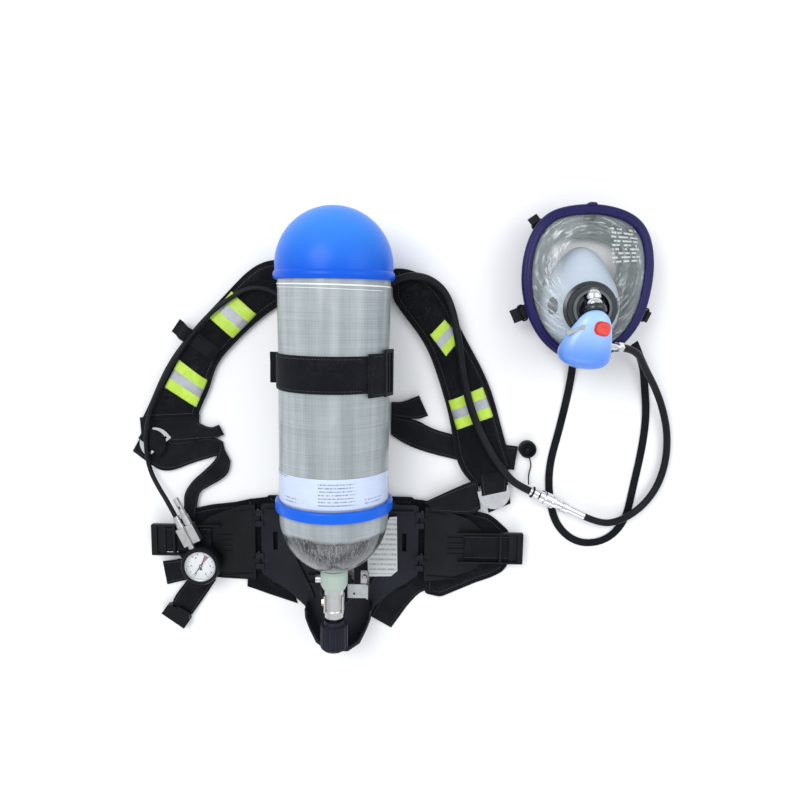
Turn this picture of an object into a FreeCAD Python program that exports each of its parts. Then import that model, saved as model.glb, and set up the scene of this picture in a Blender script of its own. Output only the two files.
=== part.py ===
"""Air pack: a self-contained breathing apparatus lying on its back plate.

Frame: +Z up from the floor, +Y towards the domed end of the cylinder, +X to the wearer's left
when the pack is worn.  The origin is on the floor, under the cylinder's axis.
All sizes are in millimetres.
"""
import FreeCAD, Part
import math
import os

import Sketcher
from FreeCAD import Placement, Rotation, Vector

os.makedirs("parts", exist_ok=True)
DOC = FreeCAD.newDocument("AirPack")

# --------------------------------------------------------------------------- driving sizes
DRIVING_SIZES = {
    # cylinder
    "axis_height": 107, "cyl_radius": 78.5, "cyl_foot": -45, "cyl_head": 309,
    "neck_dome": 84, "head_dome": 78.5, "wrap_wall": 6.5, "liner_wall": 3,
    "neck_radius": 17, "neck_bore": 9, "neck_end": -136,
    # blue guards
    "cap_gap": 0.3, "cap_wall": 3.2, "cap_bead": 84.5, "cap_rim": 290, "cap_bead_end": 302,
    "guard_ring_foot": -35, "guard_ring_head": -19, "guard_ring_radius": 84.5,
    # valve train
    "collar_radius": 20, "collar_foot": -158, "collar_head": -129.7,
    "valve_radius": 14, "valve_foot": -205, "spindle_radius": 4.5, "spindle_foot": -246,
    "wheel_radius": 20.5, "wheel_head": -208, "wheel_foot": -253, "running_gap": 0.05,
    "outlet_station": -180, "outlet_radius": 9.5, "outlet_low": 58,
    "nut_radius": 27, "nut_low": 46, "nut_high": 66, "stem_radius": 8,
    # back plate
    "plate_low": 6, "plate_high": 12, "spine_half": 46, "spine_head": 302,
    "wing_half": 126, "wing_head": -59, "wing_foot": -176, "shoulder_half": 76,
    "tongue_half": 47, "tongue_centre": -244, "rim_high": 46, "rim_wall": 4,
    "hinge_x": 131, "pin_radius": 1.6,
    # padding and webbing
    "pad_low": 0, "hip_pad_high": 5.7, "shoulder_pad_low": 2, "shoulder_pad_high": 15,
    "web_thick": 1.6,
    # pressure gauge
    "gauge_x": -218, "gauge_y": -156, "gauge_low": 21, "boot_radius": 31, "dial_radius": 25,
    "gauge_turn": 116,
    # hoses
    "gauge_hose_dia": 7, "supply_hose_dia": 12, "demand_hose_dia": 11, "strap_width": 12,
    # quick coupling
    "coupling_x": 301, "coupling_y": -32, "coupling_z": 14, "coupling_turn": -24.7,
    # face mask
    "mask_x": 363, "mask_y": 298, "mask_half": 89, "mask_up": 97, "mask_down": 112,
    "port_x": 358, "port_y": 256, "port_radius": 34, "port_low": 93, "port_high": 113,
}

SHEET = DOC.addObject("Spreadsheet::Sheet", "Sizes")
for row, (alias, number) in enumerate(DRIVING_SIZES.items(), 1):
    SHEET.set(f"A{row}", alias)
    SHEET.set(f"B{row}", str(number))
    SHEET.setAlias(f"B{row}", alias)
DOC.recompute()

MADE = []        # every sub-part, in the order it is made


def size(alias):
    """A driving size, read from the sheet."""
    return float(getattr(SHEET, alias))


def amount(target, text):
    """What an expression on the sheet comes to, as a plain number."""
    if isinstance(text, (int, float)):
        return float(text)
    found = target.evalExpression(text)
    return float(getattr(found, "Value", found))


def keep(made):
    """Note a finished sub-part, so that it is checked and written at the end."""
    MADE.append(made)
    return made


# --------------------------------------------------------------------------- making helpers
def new_body(label):
    made = DOC.addObject("PartDesign::Body", label)
    made.Label = label
    return keep(made)


def sketch_on(body, name, role, height=0):
    """A sketch on one of the body's own origin planes, raised by height."""
    sketch = body.newObject("Sketcher::SketchObject", name)
    plane = next(f for f in body.Origin.OriginFeatures if f.Role == role)
    sketch.AttachmentSupport = [(plane, "")]
    sketch.MapMode = "FlatFace"
    if isinstance(height, str):
        sketch.setExpression("AttachmentOffset.Base.z", height)
    elif height:
        sketch.AttachmentOffset = Placement(Vector(0, 0, height), Rotation())
    return sketch


def draw_outline(sketch, corners):
    """A closed outline of straight sides; corners given as text stay bound to the sheet."""
    spots = [Vector(amount(sketch, x), amount(sketch, y), 0) for x, y in corners]
    first = sketch.GeometryCount
    count = len(spots)
    for i in range(count):
        sketch.addGeometry(Part.LineSegment(spots[i], spots[(i + 1) % count]))
    for i in range(count):
        after = first + (i + 1) % count
        sketch.addConstraint(Sketcher.Constraint("Coincident", first + i, 2, after, 1))
        for kind, text, number in zip(("DistanceX", "DistanceY"), corners[i], spots[i]):
            tie = sketch.addConstraint(Sketcher.Constraint(kind, -1, 1, first + i, 1, number))
            if isinstance(text, str):
                sketch.setExpression(f"Constraints[{tie}]", text)


def draw_circle(sketch, radius, x=0, y=0):
    """A circle whose radius, and centre if given as text, stay bound to the sheet."""
    spot = Vector(amount(sketch, x), amount(sketch, y), 0)
    number = amount(sketch, radius)
    ring = sketch.addGeometry(Part.Circle(spot, Vector(0, 0, 1), number))
    tie = sketch.addConstraint(Sketcher.Constraint("Radius", ring, number))
    if isinstance(radius, str):
        sketch.setExpression(f"Constraints[{tie}]", radius)
    for kind, text, place in (("DistanceX", x, spot.x), ("DistanceY", y, spot.y)):
        tie = sketch.addConstraint(Sketcher.Constraint(kind, -1, 1, ring, 3, place))
        if isinstance(text, str):
            sketch.setExpression(f"Constraints[{tie}]", text)


def padded(body, name, sketch, length):
    pad = body.newObject("PartDesign::Pad", name)
    pad.Profile = sketch
    if isinstance(length, str):
        pad.setExpression("Length", length)
    else:
        pad.Length = length
    return pad


def pocketed(body, name, sketch, depth):
    """A pocket below the sketch; the cut volume is compared so a wrong direction shows."""
    DOC.recompute()
    before = body.Shape.Volume
    pocket = body.newObject("PartDesign::Pocket", name)
    pocket.Profile = sketch
    pocket.Length = depth
    DOC.recompute()
    if body.Shape.Volume > before - 0.01:
        pocket.Reversed = True
        DOC.recompute()
    if body.Shape.Volume > before - 0.01:
        raise SystemExit(f"{body.Label}: {name} cuts nothing")
    return pocket


def turned(label, outline, place=None, role="XY_Plane"):
    """A turned piece: the outline is (radius, station) and spins about the sketch's Y axis."""
    body = new_body(label)
    sketch = sketch_on(body, label + "_outline", role)
    draw_outline(sketch, outline)
    spin = body.newObject("PartDesign::Revolution", label + "_turning")
    spin.Profile = sketch
    spin.ReferenceAxis = (sketch, ["V_Axis"])
    spin.Angle = 360
    if place:
        body.Placement = place
    return body


def on_axis():
    """Placement of what is turned about the cylinder's axis."""
    return Placement(Vector(0, 0, size("axis_height")), Rotation())


def upright(x, y, z=0):
    """Placement that stands a turned piece's axis along +Z."""
    return Placement(Vector(x, y, z), Rotation(Vector(1, 0, 0), 90))


def edges_where(shape, test):
    return [f"Edge{i}" for i, edge in enumerate(shape.Edges, 1) if test(edge)]


def softened(body, name, radius, test, kind="PartDesign::Fillet"):
    """Round or chamfer the edges of the body's tip that pass the test."""
    DOC.recompute()
    base = body.Tip
    found = edges_where(base.Shape, test)
    if not found:
        raise SystemExit(f"{body.Label}: {name} finds no edge")
    dressed = body.newObject(kind, name)
    dressed.Base = (base, found)
    if kind.endswith("Fillet"):
        dressed.Radius = radius
    else:
        dressed.Size = radius
    DOC.recompute()
    return dressed


def is_upright(edge):
    ends = edge.Vertexes
    if len(ends) != 2:
        return False
    step = ends[1].Point - ends[0].Point
    return abs(step.x) < 1e-6 and abs(step.y) < 1e-6


def is_level_at(height):
    return lambda edge: all(abs(v.Z - height) < 1e-6 for v in edge.Vertexes)


def shaped(label, shape, place=None):
    """A piece whose shape comes from Part's own functions."""
    made = DOC.addObject("Part::Feature", label)
    made.Label = label
    made.Shape = shape
    if place:
        made.Placement = place
    return keep(made)


def block(name, x, y, z, long, wide, high, place=None):
    """A Part::Box; sizes given as text stay bound to the sheet."""
    made = DOC.addObject("Part::Box", name)
    for prop, text in (("Length", long), ("Width", wide), ("Height", high)):
        if isinstance(text, str):
            made.setExpression(prop, text)
        else:
            setattr(made, prop, text)
    spot = Vector(amount(made, x), amount(made, y), amount(made, z))
    made.Placement = place * Placement(spot, Rotation()) if place else Placement(spot, Rotation())
    return made


def rod(name, start, along, radius, length):
    """A Part::Cylinder from start, along a direction."""
    made = DOC.addObject("Part::Cylinder", name)
    for prop, text in (("Radius", radius), ("Height", length)):
        if isinstance(text, str):
            made.setExpression(prop, text)
        else:
            setattr(made, prop, text)
    made.Placement = Placement(Vector(*start), Rotation(Vector(0, 0, 1), Vector(*along)))
    return made


def fused(label, pieces, listed=True):
    made = DOC.addObject("Part::MultiFuse", label)
    made.Label = label
    made.Shapes = pieces
    return keep(made) if listed else made


def cut_from(label, base, tool, listed=True):
    made = DOC.addObject("Part::Cut", label)
    made.Label = label
    made.Base = base
    made.Tool = tool
    return keep(made) if listed else made


def group_of(label, pieces):
    """Separate solids of one kind, kept in one node."""
    made = DOC.addObject("Part::Compound", label)
    made.Label = label
    made.Links = pieces
    return keep(made)


# --------------------------------------------------------------------------- curves for soft goods
def polygon_face(corners, height):
    spots = [Vector(x, y, height) for x, y in corners]
    return Part.Face(Part.makePolygon(spots + spots[:1]))


def slab(label, corners, low, high):
    """A flat piece with straight sides, as a soft stand-in."""
    return shaped(label, polygon_face(corners, low).extrude(Vector(0, 0, high - low)))


def smooth_edge(points, height):
    curve = Part.BSplineCurve()
    curve.interpolate([Vector(x, y, height) for x, y in points])
    return curve.toShape()


def ribbon_shape(outer, inner, low, high):
    """A pad between two smooth long edges, with straight ends."""
    long_out = smooth_edge(outer, low)
    long_in = smooth_edge(inner, low)
    start = Part.LineSegment(Vector(*outer[0], low), Vector(*inner[0], low)).toShape()
    end = Part.LineSegment(Vector(*outer[-1], low), Vector(*inner[-1], low)).toShape()
    wire = Part.Wire(Part.__sortEdges__([long_out, end, long_in, start]))
    return Part.Face(wire).extrude(Vector(0, 0, high - low))


def egg(x, y, half, up, down, height, broad=0.12, count=16):
    """A closed egg outline, broad at the top, as a smooth periodic curve."""
    spots = []
    for i in range(count):
        turn = 2 * math.pi * i / count
        rise = math.sin(turn)
        across = half * math.cos(turn) * (1 + broad * rise)
        spots.append(Vector(x + across, y + (up if rise > 0 else down) * rise, height))
    curve = Part.BSplineCurve()
    curve.interpolate(spots, PeriodicFlag=True)
    return Part.Wire(curve.toShape())


def skin(outer_wires, inner_wires):
    """A shell between two lofts, open at both ends."""
    outer = Part.makeLoft(outer_wires, True, False)
    inner = Part.makeLoft(inner_wires, True, False)
    return outer.cut(inner)


# --------------------------------------------------------------------------- hoses
def hose_route(label, points, diameter, limp=False):
    """Straight runs joined by tangent arcs; prints every arc's radius."""
    spots = [Vector(*point) for point in points]
    radii = []
    edges = []
    start = spots[0]
    for before, here, after in zip(spots, spots[1:], spots[2:]):
        back, ahead = before - here, after - here
        turn = math.pi - back.getAngle(ahead)
        shorter = min(back.Length, ahead.Length)
        reach = 0.45 * shorter
        radii.append(reach / math.tan(turn / 2))
        arc_in = here + back.normalize() * reach
        arc_out = here + ahead.normalize() * reach
        middle = (arc_in + arc_out) * 0.5
        towards = (here - middle).normalize()
        half_chord = (arc_out - arc_in).Length / 2
        sag = half_chord * math.tan(turn / 4)
        edges.append(Part.LineSegment(start, arc_in).toShape())
        edges.append(Part.Arc(arc_in, middle + towards * sag, arc_out).toShape())
        start = arc_out
    edges.append(Part.LineSegment(start, spots[-1]).toShape())
    path = Part.Wire(edges)
    least = 3 if limp else 5
    print(f"{label}: length {path.Length:.0f}, radii", [round(r) for r in radii])
    if min(radii) < least * diameter:
        print(f"{label}: tightest radius {min(radii):.1f} is under {least} diameters")
    return path


def hose(label, points, diameter):
    """A round tube along its route, with its volume compared."""
    path = hose_route(label, points, diameter)
    start = Vector(*points[0])
    along = (Vector(*points[1]) - start).normalize()
    ring = Part.Wire(Part.Circle(start, along, diameter / 2).toShape())
    tube = path.makePipeShell([ring], True, True)
    wanted = math.pi * diameter ** 2 / 4 * path.Length
    print(f"{label}: volume ratio {tube.Volume / wanted:.3f}")
    return shaped(label, tube)


def flat_strap(label, points, width, thick):
    """A flat strap along its route, its broad side kept level."""
    path = hose_route(label, points, thick, limp=True)
    start = Vector(*points[0])
    along = (Vector(*points[1]) - start).normalize()
    side = along.cross(Vector(0, 0, 1)).normalize()
    rise = side.cross(along).normalize()
    corners = [start + side * (a * width / 2) + rise * (b * thick / 2)
               for a, b in ((1, 1), (1, -1), (-1, -1), (-1, 1))]
    section = Part.makePolygon(corners + corners[:1])
    sweep = Part.BRepOffsetAPI.MakePipeShell(path)
    sweep.setBiNormalMode(Vector(0, 0, 1))
    sweep.setTransitionMode(0)
    sweep.add(section)
    sweep.build()
    sweep.makeSolid()
    solid = sweep.shape()
    print(f"{label}: volume ratio {solid.Volume / (width * thick * path.Length):.3f}")
    return shaped(label, solid)


# --------------------------------------------------------------------------- cylinder
def dome_profile(radius, foot_reach, head_reach, neck, neck_end):
    """Half section of a closed bottle: elliptical neck dome, straight wall, round head."""
    foot, head = size("cyl_foot"), size("cyl_head")
    slope = math.acos(neck / radius)
    neck_start = Vector(neck, foot - foot_reach * math.sin(slope), 0)
    low_ring = Part.Ellipse(Vector(0, foot - foot_reach, 0), Vector(radius, foot, 0),
                            Vector(0, foot, 0))
    head_top = Vector(0, head + head_reach, 0)
    head_side = Vector(radius * math.sqrt(0.5), head + head_reach * math.sqrt(0.5), 0)
    parts = [Part.LineSegment(Vector(0, neck_end, 0), Vector(neck, neck_end, 0)).toShape(),
             Part.LineSegment(Vector(neck, neck_end, 0), neck_start).toShape()]
    parts.append(arc_between(low_ring, neck_start, Vector(radius, foot, 0)))
    parts.append(Part.LineSegment(Vector(radius, foot, 0), Vector(radius, head, 0)).toShape())
    parts.append(Part.Arc(Vector(radius, head, 0), head_side, head_top).toShape())
    parts.append(Part.LineSegment(head_top, Vector(0, neck_end, 0)).toShape())
    return Part.Face(Part.Wire(Part.__sortEdges__(parts)))


def arc_between(ring, start, end):
    """The part of an ellipse from one of its points to another, the short way."""
    first, last = ring.parameter(start), ring.parameter(end)
    if last < first:
        first, last = last, first
    if last - first > math.pi:
        first, last = last, first + 2 * math.pi
    return Part.Arc(ring, first, last).toShape()


def spun(face):
    return face.revolve(Vector(0, 0, 0), Vector(0, 1, 0), 360)


def make_cylinder():
    wrap, wall = size("wrap_wall"), size("liner_wall")
    radius, neck = size("cyl_radius"), size("neck_radius")
    foot, head = size("neck_dome"), size("head_dome")
    inside = radius - wrap
    outer = spun(dome_profile(radius, foot, head, neck + 0.02, size("cyl_foot") - foot))
    core = spun(dome_profile(inside, foot - wrap, head - wrap, neck, size("neck_end")))
    shaped("cylinder_wrap", outer.cut(core), on_axis())
    hollow = spun(dome_profile(inside - wall, foot - wrap - wall, head - wrap - wall,
                               size("neck_bore"), size("neck_end") - 1))
    shaped("cylinder_liner", core.cut(hollow), on_axis())


def make_blue_guards():
    radius, head = size("cyl_radius"), size("cyl_head")
    inside, wall = radius + size("cap_gap"), size("cap_wall")
    rim, bead_end = size("cap_rim"), size("cap_bead_end")
    bead = size("cap_bead")
    outer = inside + wall
    crown_out = Part.Circle(Vector(0, head, 0), Vector(0, 0, 1), outer)
    crown_in = Part.Circle(Vector(0, head, 0), Vector(0, 0, 1), inside)
    line = lambda *ends: Part.LineSegment(*[Vector(x, y, 0) for x, y in ends]).toShape()
    middle = (rim + bead_end) / 2
    round_bead = Part.Arc(Vector(bead - 2.5, rim, 0), Vector(bead, middle, 0),
                          Vector(bead - 2.5, bead_end, 0)).toShape()
    sides = [line((inside, rim), (bead - 2.5, rim)), round_bead,
             line((bead - 2.5, bead_end), (outer, bead_end + 2)),
             line((outer, bead_end + 2), (outer, head)),
             arc_between(crown_out, Vector(outer, head, 0), Vector(0, head + outer, 0)),
             line((0, head + outer), (0, head + inside)),
             arc_between(crown_in, Vector(inside, head, 0), Vector(0, head + inside, 0)),
             line((inside, head), (inside, rim))]
    face = Part.Face(Part.Wire(Part.__sortEdges__(sides)))
    shaped("dome_cap", spun(face), on_axis())

    ring = turned("neck_guard_ring", [
        ("Sizes.cyl_radius + 0.3", "Sizes.guard_ring_foot"),
        ("Sizes.guard_ring_radius", "Sizes.guard_ring_foot"),
        ("Sizes.guard_ring_radius", "Sizes.guard_ring_head"),
        ("Sizes.cyl_radius + 0.3", "Sizes.guard_ring_head")], on_axis())
    softened(ring, "ring_rounding", 3.5,
             lambda e: all(abs(math.hypot(v.X, v.Z) - size("guard_ring_radius")) < 1e-3
                           for v in e.Vertexes) and e.Length > 100)


# --------------------------------------------------------------------------- cylinder valve
def make_valve():
    turned("neck_collar", [
        ("Sizes.neck_radius + 0.3", "Sizes.collar_head + 0.5"),
        ("Sizes.neck_radius + 0.3", "Sizes.neck_end"),
        ("Sizes.valve_radius - 3.9", "Sizes.neck_end - 0.3"),
        ("Sizes.valve_radius - 3.9", "Sizes.collar_foot"),
        ("Sizes.collar_radius - 3.5", "Sizes.collar_foot"),
        ("Sizes.collar_radius", "Sizes.collar_foot + 7"),
        ("Sizes.collar_radius", "Sizes.collar_head - 4"),
        ("Sizes.collar_radius - 1.5", "Sizes.collar_head + 0.5")], on_axis())

    shank = turned("valve_shank", [
        (0, "Sizes.neck_end + 24"), ("Sizes.neck_bore - 0.02", "Sizes.neck_end + 24"),
        ("Sizes.neck_bore - 0.02", "Sizes.neck_end"),
        ("Sizes.valve_radius - 4", "Sizes.neck_end - 0.35"),
        ("Sizes.valve_radius - 4", "Sizes.collar_foot - 0.1"),
        ("Sizes.valve_radius", "Sizes.collar_foot - 0.1"),
        ("Sizes.valve_radius", "Sizes.collar_foot - 30"),
        ("Sizes.valve_radius - 1.2", "Sizes.collar_foot - 32"),
        ("Sizes.valve_radius - 0.3", "Sizes.collar_foot - 34"),
        ("Sizes.valve_radius - 0.3", "Sizes.valve_foot + 3"),
        ("Sizes.valve_radius - 3", "Sizes.valve_foot"), (0, "Sizes.valve_foot")], on_axis())
    MADE.remove(shank)
    axis, station = size("axis_height"), size("outlet_station")
    drop = axis - size("outlet_low")
    outlet = rod("valve_outlet", (0, station, axis), (0, 0, -1), "Sizes.outlet_radius", drop)
    flats = [block(f"valve_flat_{side}", x, station - 14, axis - 9, 2.6, 26, 18)
             for side, x in (("left", -14.6), ("right", 12))]
    solid = fused("valve_solid", [shank, outlet, flats[0], flats[1]], listed=False)
    length = size("neck_end") + 24 - size("valve_foot")
    way = rod("valve_way", (0, size("valve_foot") - 1, axis), (0, 1, 0), 4.55, length + 2)
    port = rod("outlet_way", (0, station, size("outlet_low") - 1), (0, 0, 1), 3.5, drop)
    disc_seat = rod("disc_seat", (-20, station, axis), (1, 0, 0), 4, 12)
    hollows = fused("valve_hollows", [way, port, disc_seat], listed=False)
    cut_from("valve_body", solid, hollows)

    plug_head = DOC.addObject("Part::Prism", "plug_head")
    plug_head.Polygon, plug_head.Circumradius, plug_head.Height = 6, 6.2, 3.5
    plug_head.Placement = Placement(Vector(-14.7, station, axis), Rotation(Vector(0, 0, 1), Vector(-1, 0, 0)))
    plug_shank = rod("plug_shank", (-14.7, station, axis), (1, 0, 0), 3.98, 6)
    fused("burst_disc_plug", [plug_head, plug_shank])

    axis_place = on_axis()
    turned("valve_spindle", [
        (0, "Sizes.outlet_station + 12"), (3.4, "Sizes.outlet_station + 12"),
        ("Sizes.spindle_radius", "Sizes.outlet_station + 9"),
        ("Sizes.spindle_radius", "Sizes.spindle_foot"),
        (0, "Sizes.spindle_foot")], axis_place)

    wheel = turned("valve_handwheel", [
        ("Sizes.spindle_radius", "Sizes.wheel_head"),
        ("Sizes.wheel_radius - 6.5", "Sizes.wheel_head"),
        ("Sizes.wheel_radius - 5", "Sizes.wheel_head - 4"),
        ("Sizes.wheel_radius", "Sizes.wheel_head - 7"),
        ("Sizes.wheel_radius", "Sizes.wheel_foot + 4"),
        ("Sizes.wheel_radius - 4", "Sizes.wheel_foot"),
        (0, "Sizes.wheel_foot"), (0, "Sizes.spindle_foot"),
        ("Sizes.spindle_radius", "Sizes.spindle_foot")], axis_place)
    grooves = sketch_on(wheel, "finger_groove", "XZ_Plane")
    draw_circle(grooves, 2.6, "Sizes.wheel_radius + 1.1", 0)
    DOC.recompute()
    groove = wheel.newObject("PartDesign::Pocket", "finger_groove_cut")
    groove.Profile = grooves
    groove.Type = 1
    groove.Midplane = True
    DOC.recompute()
    ring = wheel.newObject("PartDesign::PolarPattern", "finger_grooves")
    ring.Originals = [groove]
    ring.Axis = (grooves, ["N_Axis"])
    ring.Angle = 360
    ring.Occurrences = 16
    wheel.Tip = ring
    DOC.recompute()


# --------------------------------------------------------------------------- pressure reducer
def make_reducer():
    station, high = size("outlet_station"), size("nut_low")
    base = block("reducer_block", -24, station - 20, size("plate_high") + 3.1, 48, 62, 22)
    tower = rod("reducer_tower", (0, station, size("plate_high") + 20), (0, 0, 1), 21, 8.9)
    stem = rod("reducer_stem", (0, station, size("plate_high") + 20), (0, 0, 1),
               "Sizes.stem_radius", 24.5)
    ports = [rod(f"reducer_port_{side}", (x, station + 41, 27), (0, 1, 0), radius, 12)
             for side, x, radius in (("gauge", -13, 6), ("supply", 10, 8))]
    relief = rod("relief_valve", (-23, station + 2, 26), (-1, 0, 0), 7, 14)
    fused("reducer_body", [base, tower, stem, *ports, relief])

    nut = turned("reducer_hand_nut", [
        ("Sizes.stem_radius + Sizes.running_gap", "Sizes.nut_low"),
        ("Sizes.nut_radius - 3", "Sizes.nut_low"), ("Sizes.nut_radius", "Sizes.nut_low + 3"),
        ("Sizes.nut_radius", "Sizes.nut_high - 3"), ("Sizes.nut_radius - 3", "Sizes.nut_high"),
        ("Sizes.outlet_radius + Sizes.running_gap", "Sizes.nut_high"),
        ("Sizes.outlet_radius + Sizes.running_gap", "Sizes.outlet_low - 0.6"),
        ("Sizes.stem_radius + Sizes.running_gap", "Sizes.outlet_low - 0.6")],
        upright(0, station, 0))
    notch = sketch_on(nut, "grip_notch", "XZ_Plane")
    draw_circle(notch, 4, "Sizes.nut_radius + 2.2", 0)
    DOC.recompute()
    cut = nut.newObject("PartDesign::Pocket", "grip_notch_cut")
    cut.Profile = notch
    cut.Type = 1
    cut.Midplane = True
    DOC.recompute()
    ring = nut.newObject("PartDesign::PolarPattern", "grip_notches")
    ring.Originals = [cut]
    ring.Axis = (notch, ["N_Axis"])
    ring.Angle = 360
    ring.Occurrences = 12
    nut.Tip = ring
    DOC.recompute()

    top = block("bracket_top", 17, station - 10, 68, 31, 22, 2)
    side = block("bracket_side", 46, station - 10, size("plate_high") + 0.1, 2.5, 22, 62)
    foot = block("bracket_foot", 34, station - 10, size("plate_high") + 0.1, 14, 22, 2)
    whole = fused("bracket_folded", [top, side, foot], listed=False)
    hole = rod("bracket_hole", (27, station - 3, 60), (0, 0, 1), 1.8, 14)
    cut_from("reducer_bracket", whole, hole)


# --------------------------------------------------------------------------- back plate
def make_back_plate():
    plate = new_body("back_plate")
    outline = sketch_on(plate, "plate_outline", "XY_Plane", "Sizes.plate_low")
    right = [("Sizes.shoulder_half", "Sizes.spine_head"), ("Sizes.shoulder_half", 236),
             ("Sizes.spine_half + 8", 190), ("Sizes.spine_half + 8", -20),
             ("Sizes.wing_half - 36", "Sizes.wing_head"), ("Sizes.wing_half", "Sizes.wing_head"),
             ("Sizes.wing_half", "Sizes.wing_foot"), ("Sizes.wing_half - 42", -204),
             ("Sizes.tongue_half + 10", -230), ("Sizes.tongue_half", -252),
             ("Sizes.tongue_half - 12", -280), ("Sizes.tongue_half - 31", -295)]
    left = [(f"-({x})", y) for x, y in reversed(right)]
    draw_outline(outline, right + left)
    padded(plate, "plate_sheet", outline, "Sizes.plate_high - Sizes.plate_low")
    softened(plate, "plate_corners", 7, is_upright)

    wide, wall, rim_foot = size("tongue_half"), size("rim_wall"), -222
    rim = sketch_on(plate, "tongue_rim", "XY_Plane", "Sizes.plate_high - 1")
    outside = [(wide + 6, rim_foot), (wide + 5, -236), (wide - 1, -253), (wide - 12, -277),
               (wide - 31, -291)]
    inside = [(x - wall, y + (wall if y < -270 else 0)) for x, y in outside]
    loop = (outside + [(-x, y) for x, y in reversed(outside)]
            + [(-x, y) for x, y in inside] + list(reversed(inside)))
    draw_outline(rim, loop)
    padded(plate, "tongue_rim_wall", rim, "Sizes.rim_high - Sizes.plate_high + 1")
    softened(plate, "rim_lip", 1.6, is_level_at(size("rim_high")))

    spine = sketch_on(plate, "spine_rest", "XY_Plane")
    half = "Sizes.spine_half"
    draw_outline(spine, [(half, 286), (f"-{half}", 286), (f"-{half}", -200), (half, -200)])
    padded(plate, "spine_rest_block", spine, "Sizes.plate_low + 1")

    ribs = sketch_on(plate, "channel_ribs", "XY_Plane", "Sizes.plate_high - 1")
    for side in (-1, 1):
        draw_outline(ribs, [(side * 70, -66), (side * 74, -66), (side * 74, -150),
                            (side * 50, -200), (side * 44, -216), (side * 40, -216),
                            (side * 46, -198), (side * 70, -148)])
        draw_outline(ribs, [(side * 84, -68), (side * 118, -68), (side * 118, -71.5),
                            (side * 84, -71.5)])
    for low in (-176, -189):
        draw_outline(ribs, [(-50, low), (-34, low), (-34, low - 3), (-46, low - 3)])
    padded(plate, "channel_rib_walls", ribs, 6)

    slots = sketch_on(plate, "wing_slots", "XY_Plane", "Sizes.plate_high")
    for side in (-1, 1):
        draw_outline(slots, [(side * 100, -106), (side * 107, -106), (side * 107, -136),
                             (side * 100, -136)])
    pocketed(plate, "wing_slot_cuts", slots, 9)

    well = sketch_on(plate, "spine_lightening", "XY_Plane", "Sizes.plate_high")
    for low, high in ((50, 96), (108, 154), (166, 212)):
        draw_outline(well, [(-30, low), (30, low), (30, high), (-30, high)])
    pocketed(plate, "spine_windows", well, 14)

    knuckles = sketch_on(plate, "hinge_knuckles", "XY_Plane", 6.2)
    pin = size("hinge_x")
    for side in (-1, 1):
        for high, low in ((-70, -79), (-88, -97), (-141, -150), (-159, -168)):
            draw_outline(knuckles, [(side * (size("wing_half") - 4), high), (side * (pin + 3.6), high),
                                    (side * (pin + 3.6), low), (side * (size("wing_half") - 4), low)])
    padded(plate, "hinge_knuckle_blocks", knuckles, 8.8)
    bores = sketch_on(plate, "hinge_bores", "XZ_Plane")
    for side in (-1, 1):
        draw_circle(bores, "Sizes.pin_radius + 0.02", side * pin, 9.5)
    DOC.recompute()
    drill = plate.newObject("PartDesign::Pocket", "hinge_bore_cuts")
    drill.Profile = bores
    drill.Type = 1
    drill.Midplane = True
    DOC.recompute()


def make_hip_plate(side, name):
    """A hinged hip plate; side is -1 for the left of the drawing and 1 for the right."""
    plate = new_body(f"hip_plate_{name}")
    pin = size("hinge_x")
    inner = pin + 5
    outline = sketch_on(plate, f"hip_{name}_outline", "XY_Plane", "Sizes.plate_low")
    draw_outline(outline, [(side * inner, -62), (side * (pin + 26), -63), (side * (pin + 77), -82),
                           (side * (pin + 96), -98), (side * (pin + 98), -152),
                           (side * (pin + 84), -166), (side * (pin + 34), -184),
                           (side * inner, -186)])
    padded(plate, f"hip_{name}_sheet", outline, 5)
    softened(plate, f"hip_{name}_corners", 5,
             lambda e: is_upright(e) and abs(e.Vertexes[0].X) > pin + 20)
    knuckles = sketch_on(plate, f"hip_{name}_knuckles", "XY_Plane", 6.0)
    for high, low in ((-79.3, -87.7), (-150.3, -158.7)):
        draw_outline(knuckles, [(side * (pin - 3.4), high), (side * (pin + 9), high),
                                (side * (pin + 9), low), (side * (pin - 3.4), low)])
    padded(plate, f"hip_{name}_knuckle_blocks", knuckles, 7)
    ribs = sketch_on(plate, f"hip_{name}_ribs", "XY_Plane", 10.5)
    for station in (-112, -121, -130, -139):
        draw_outline(ribs, [(side * (pin + 42), station), (side * (pin + 68), station),
                            (side * (pin + 68), station - 2.4), (side * (pin + 42), station - 2.4)])
    for near, far, station in ((10, 40, -70), (10, 60, -176)):
        draw_outline(ribs, [(side * (pin + near), station), (side * (pin + far), station - 4),
                            (side * (pin + far), station - 6), (side * (pin + near), station - 2)])
    padded(plate, f"hip_{name}_rib_walls", ribs, 2.5)
    bore = sketch_on(plate, f"hip_{name}_bore", "XZ_Plane")
    draw_circle(bore, "Sizes.pin_radius + Sizes.running_gap", side * pin, 9.5)
    DOC.recompute()
    drill = plate.newObject("PartDesign::Pocket", f"hip_{name}_bore_cut")
    drill.Profile = bore
    drill.Type = 1
    drill.Midplane = True
    DOC.recompute()


def make_hinge_pins():
    pins = []
    for side in (-1, 1):
        for start in (-69, -140):
            pins.append(rod(f"hinge_pin_{len(pins)}", (side * size("hinge_x"), start, 9.5),
                            (0, -1, 0), "Sizes.pin_radius", 29))
    group_of("hinge_pins", pins)


def make_saddles():
    radius, axis = size("cyl_radius") + 0.4, size("axis_height")
    saddles = []
    for number, station in enumerate((-14, 222)):
        base = block(f"saddle_block_{number}", -44, station, "Sizes.plate_high + 0.02",
                     88, 26, 33)
        hollow = rod(f"saddle_hollow_{number}", (0, station - 1, axis), (0, 1, 0), radius, 28)
        saddles.append(cut_from(f"saddle_{number}", base, hollow, listed=False))
    group_of("cylinder_saddles", saddles)


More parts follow.
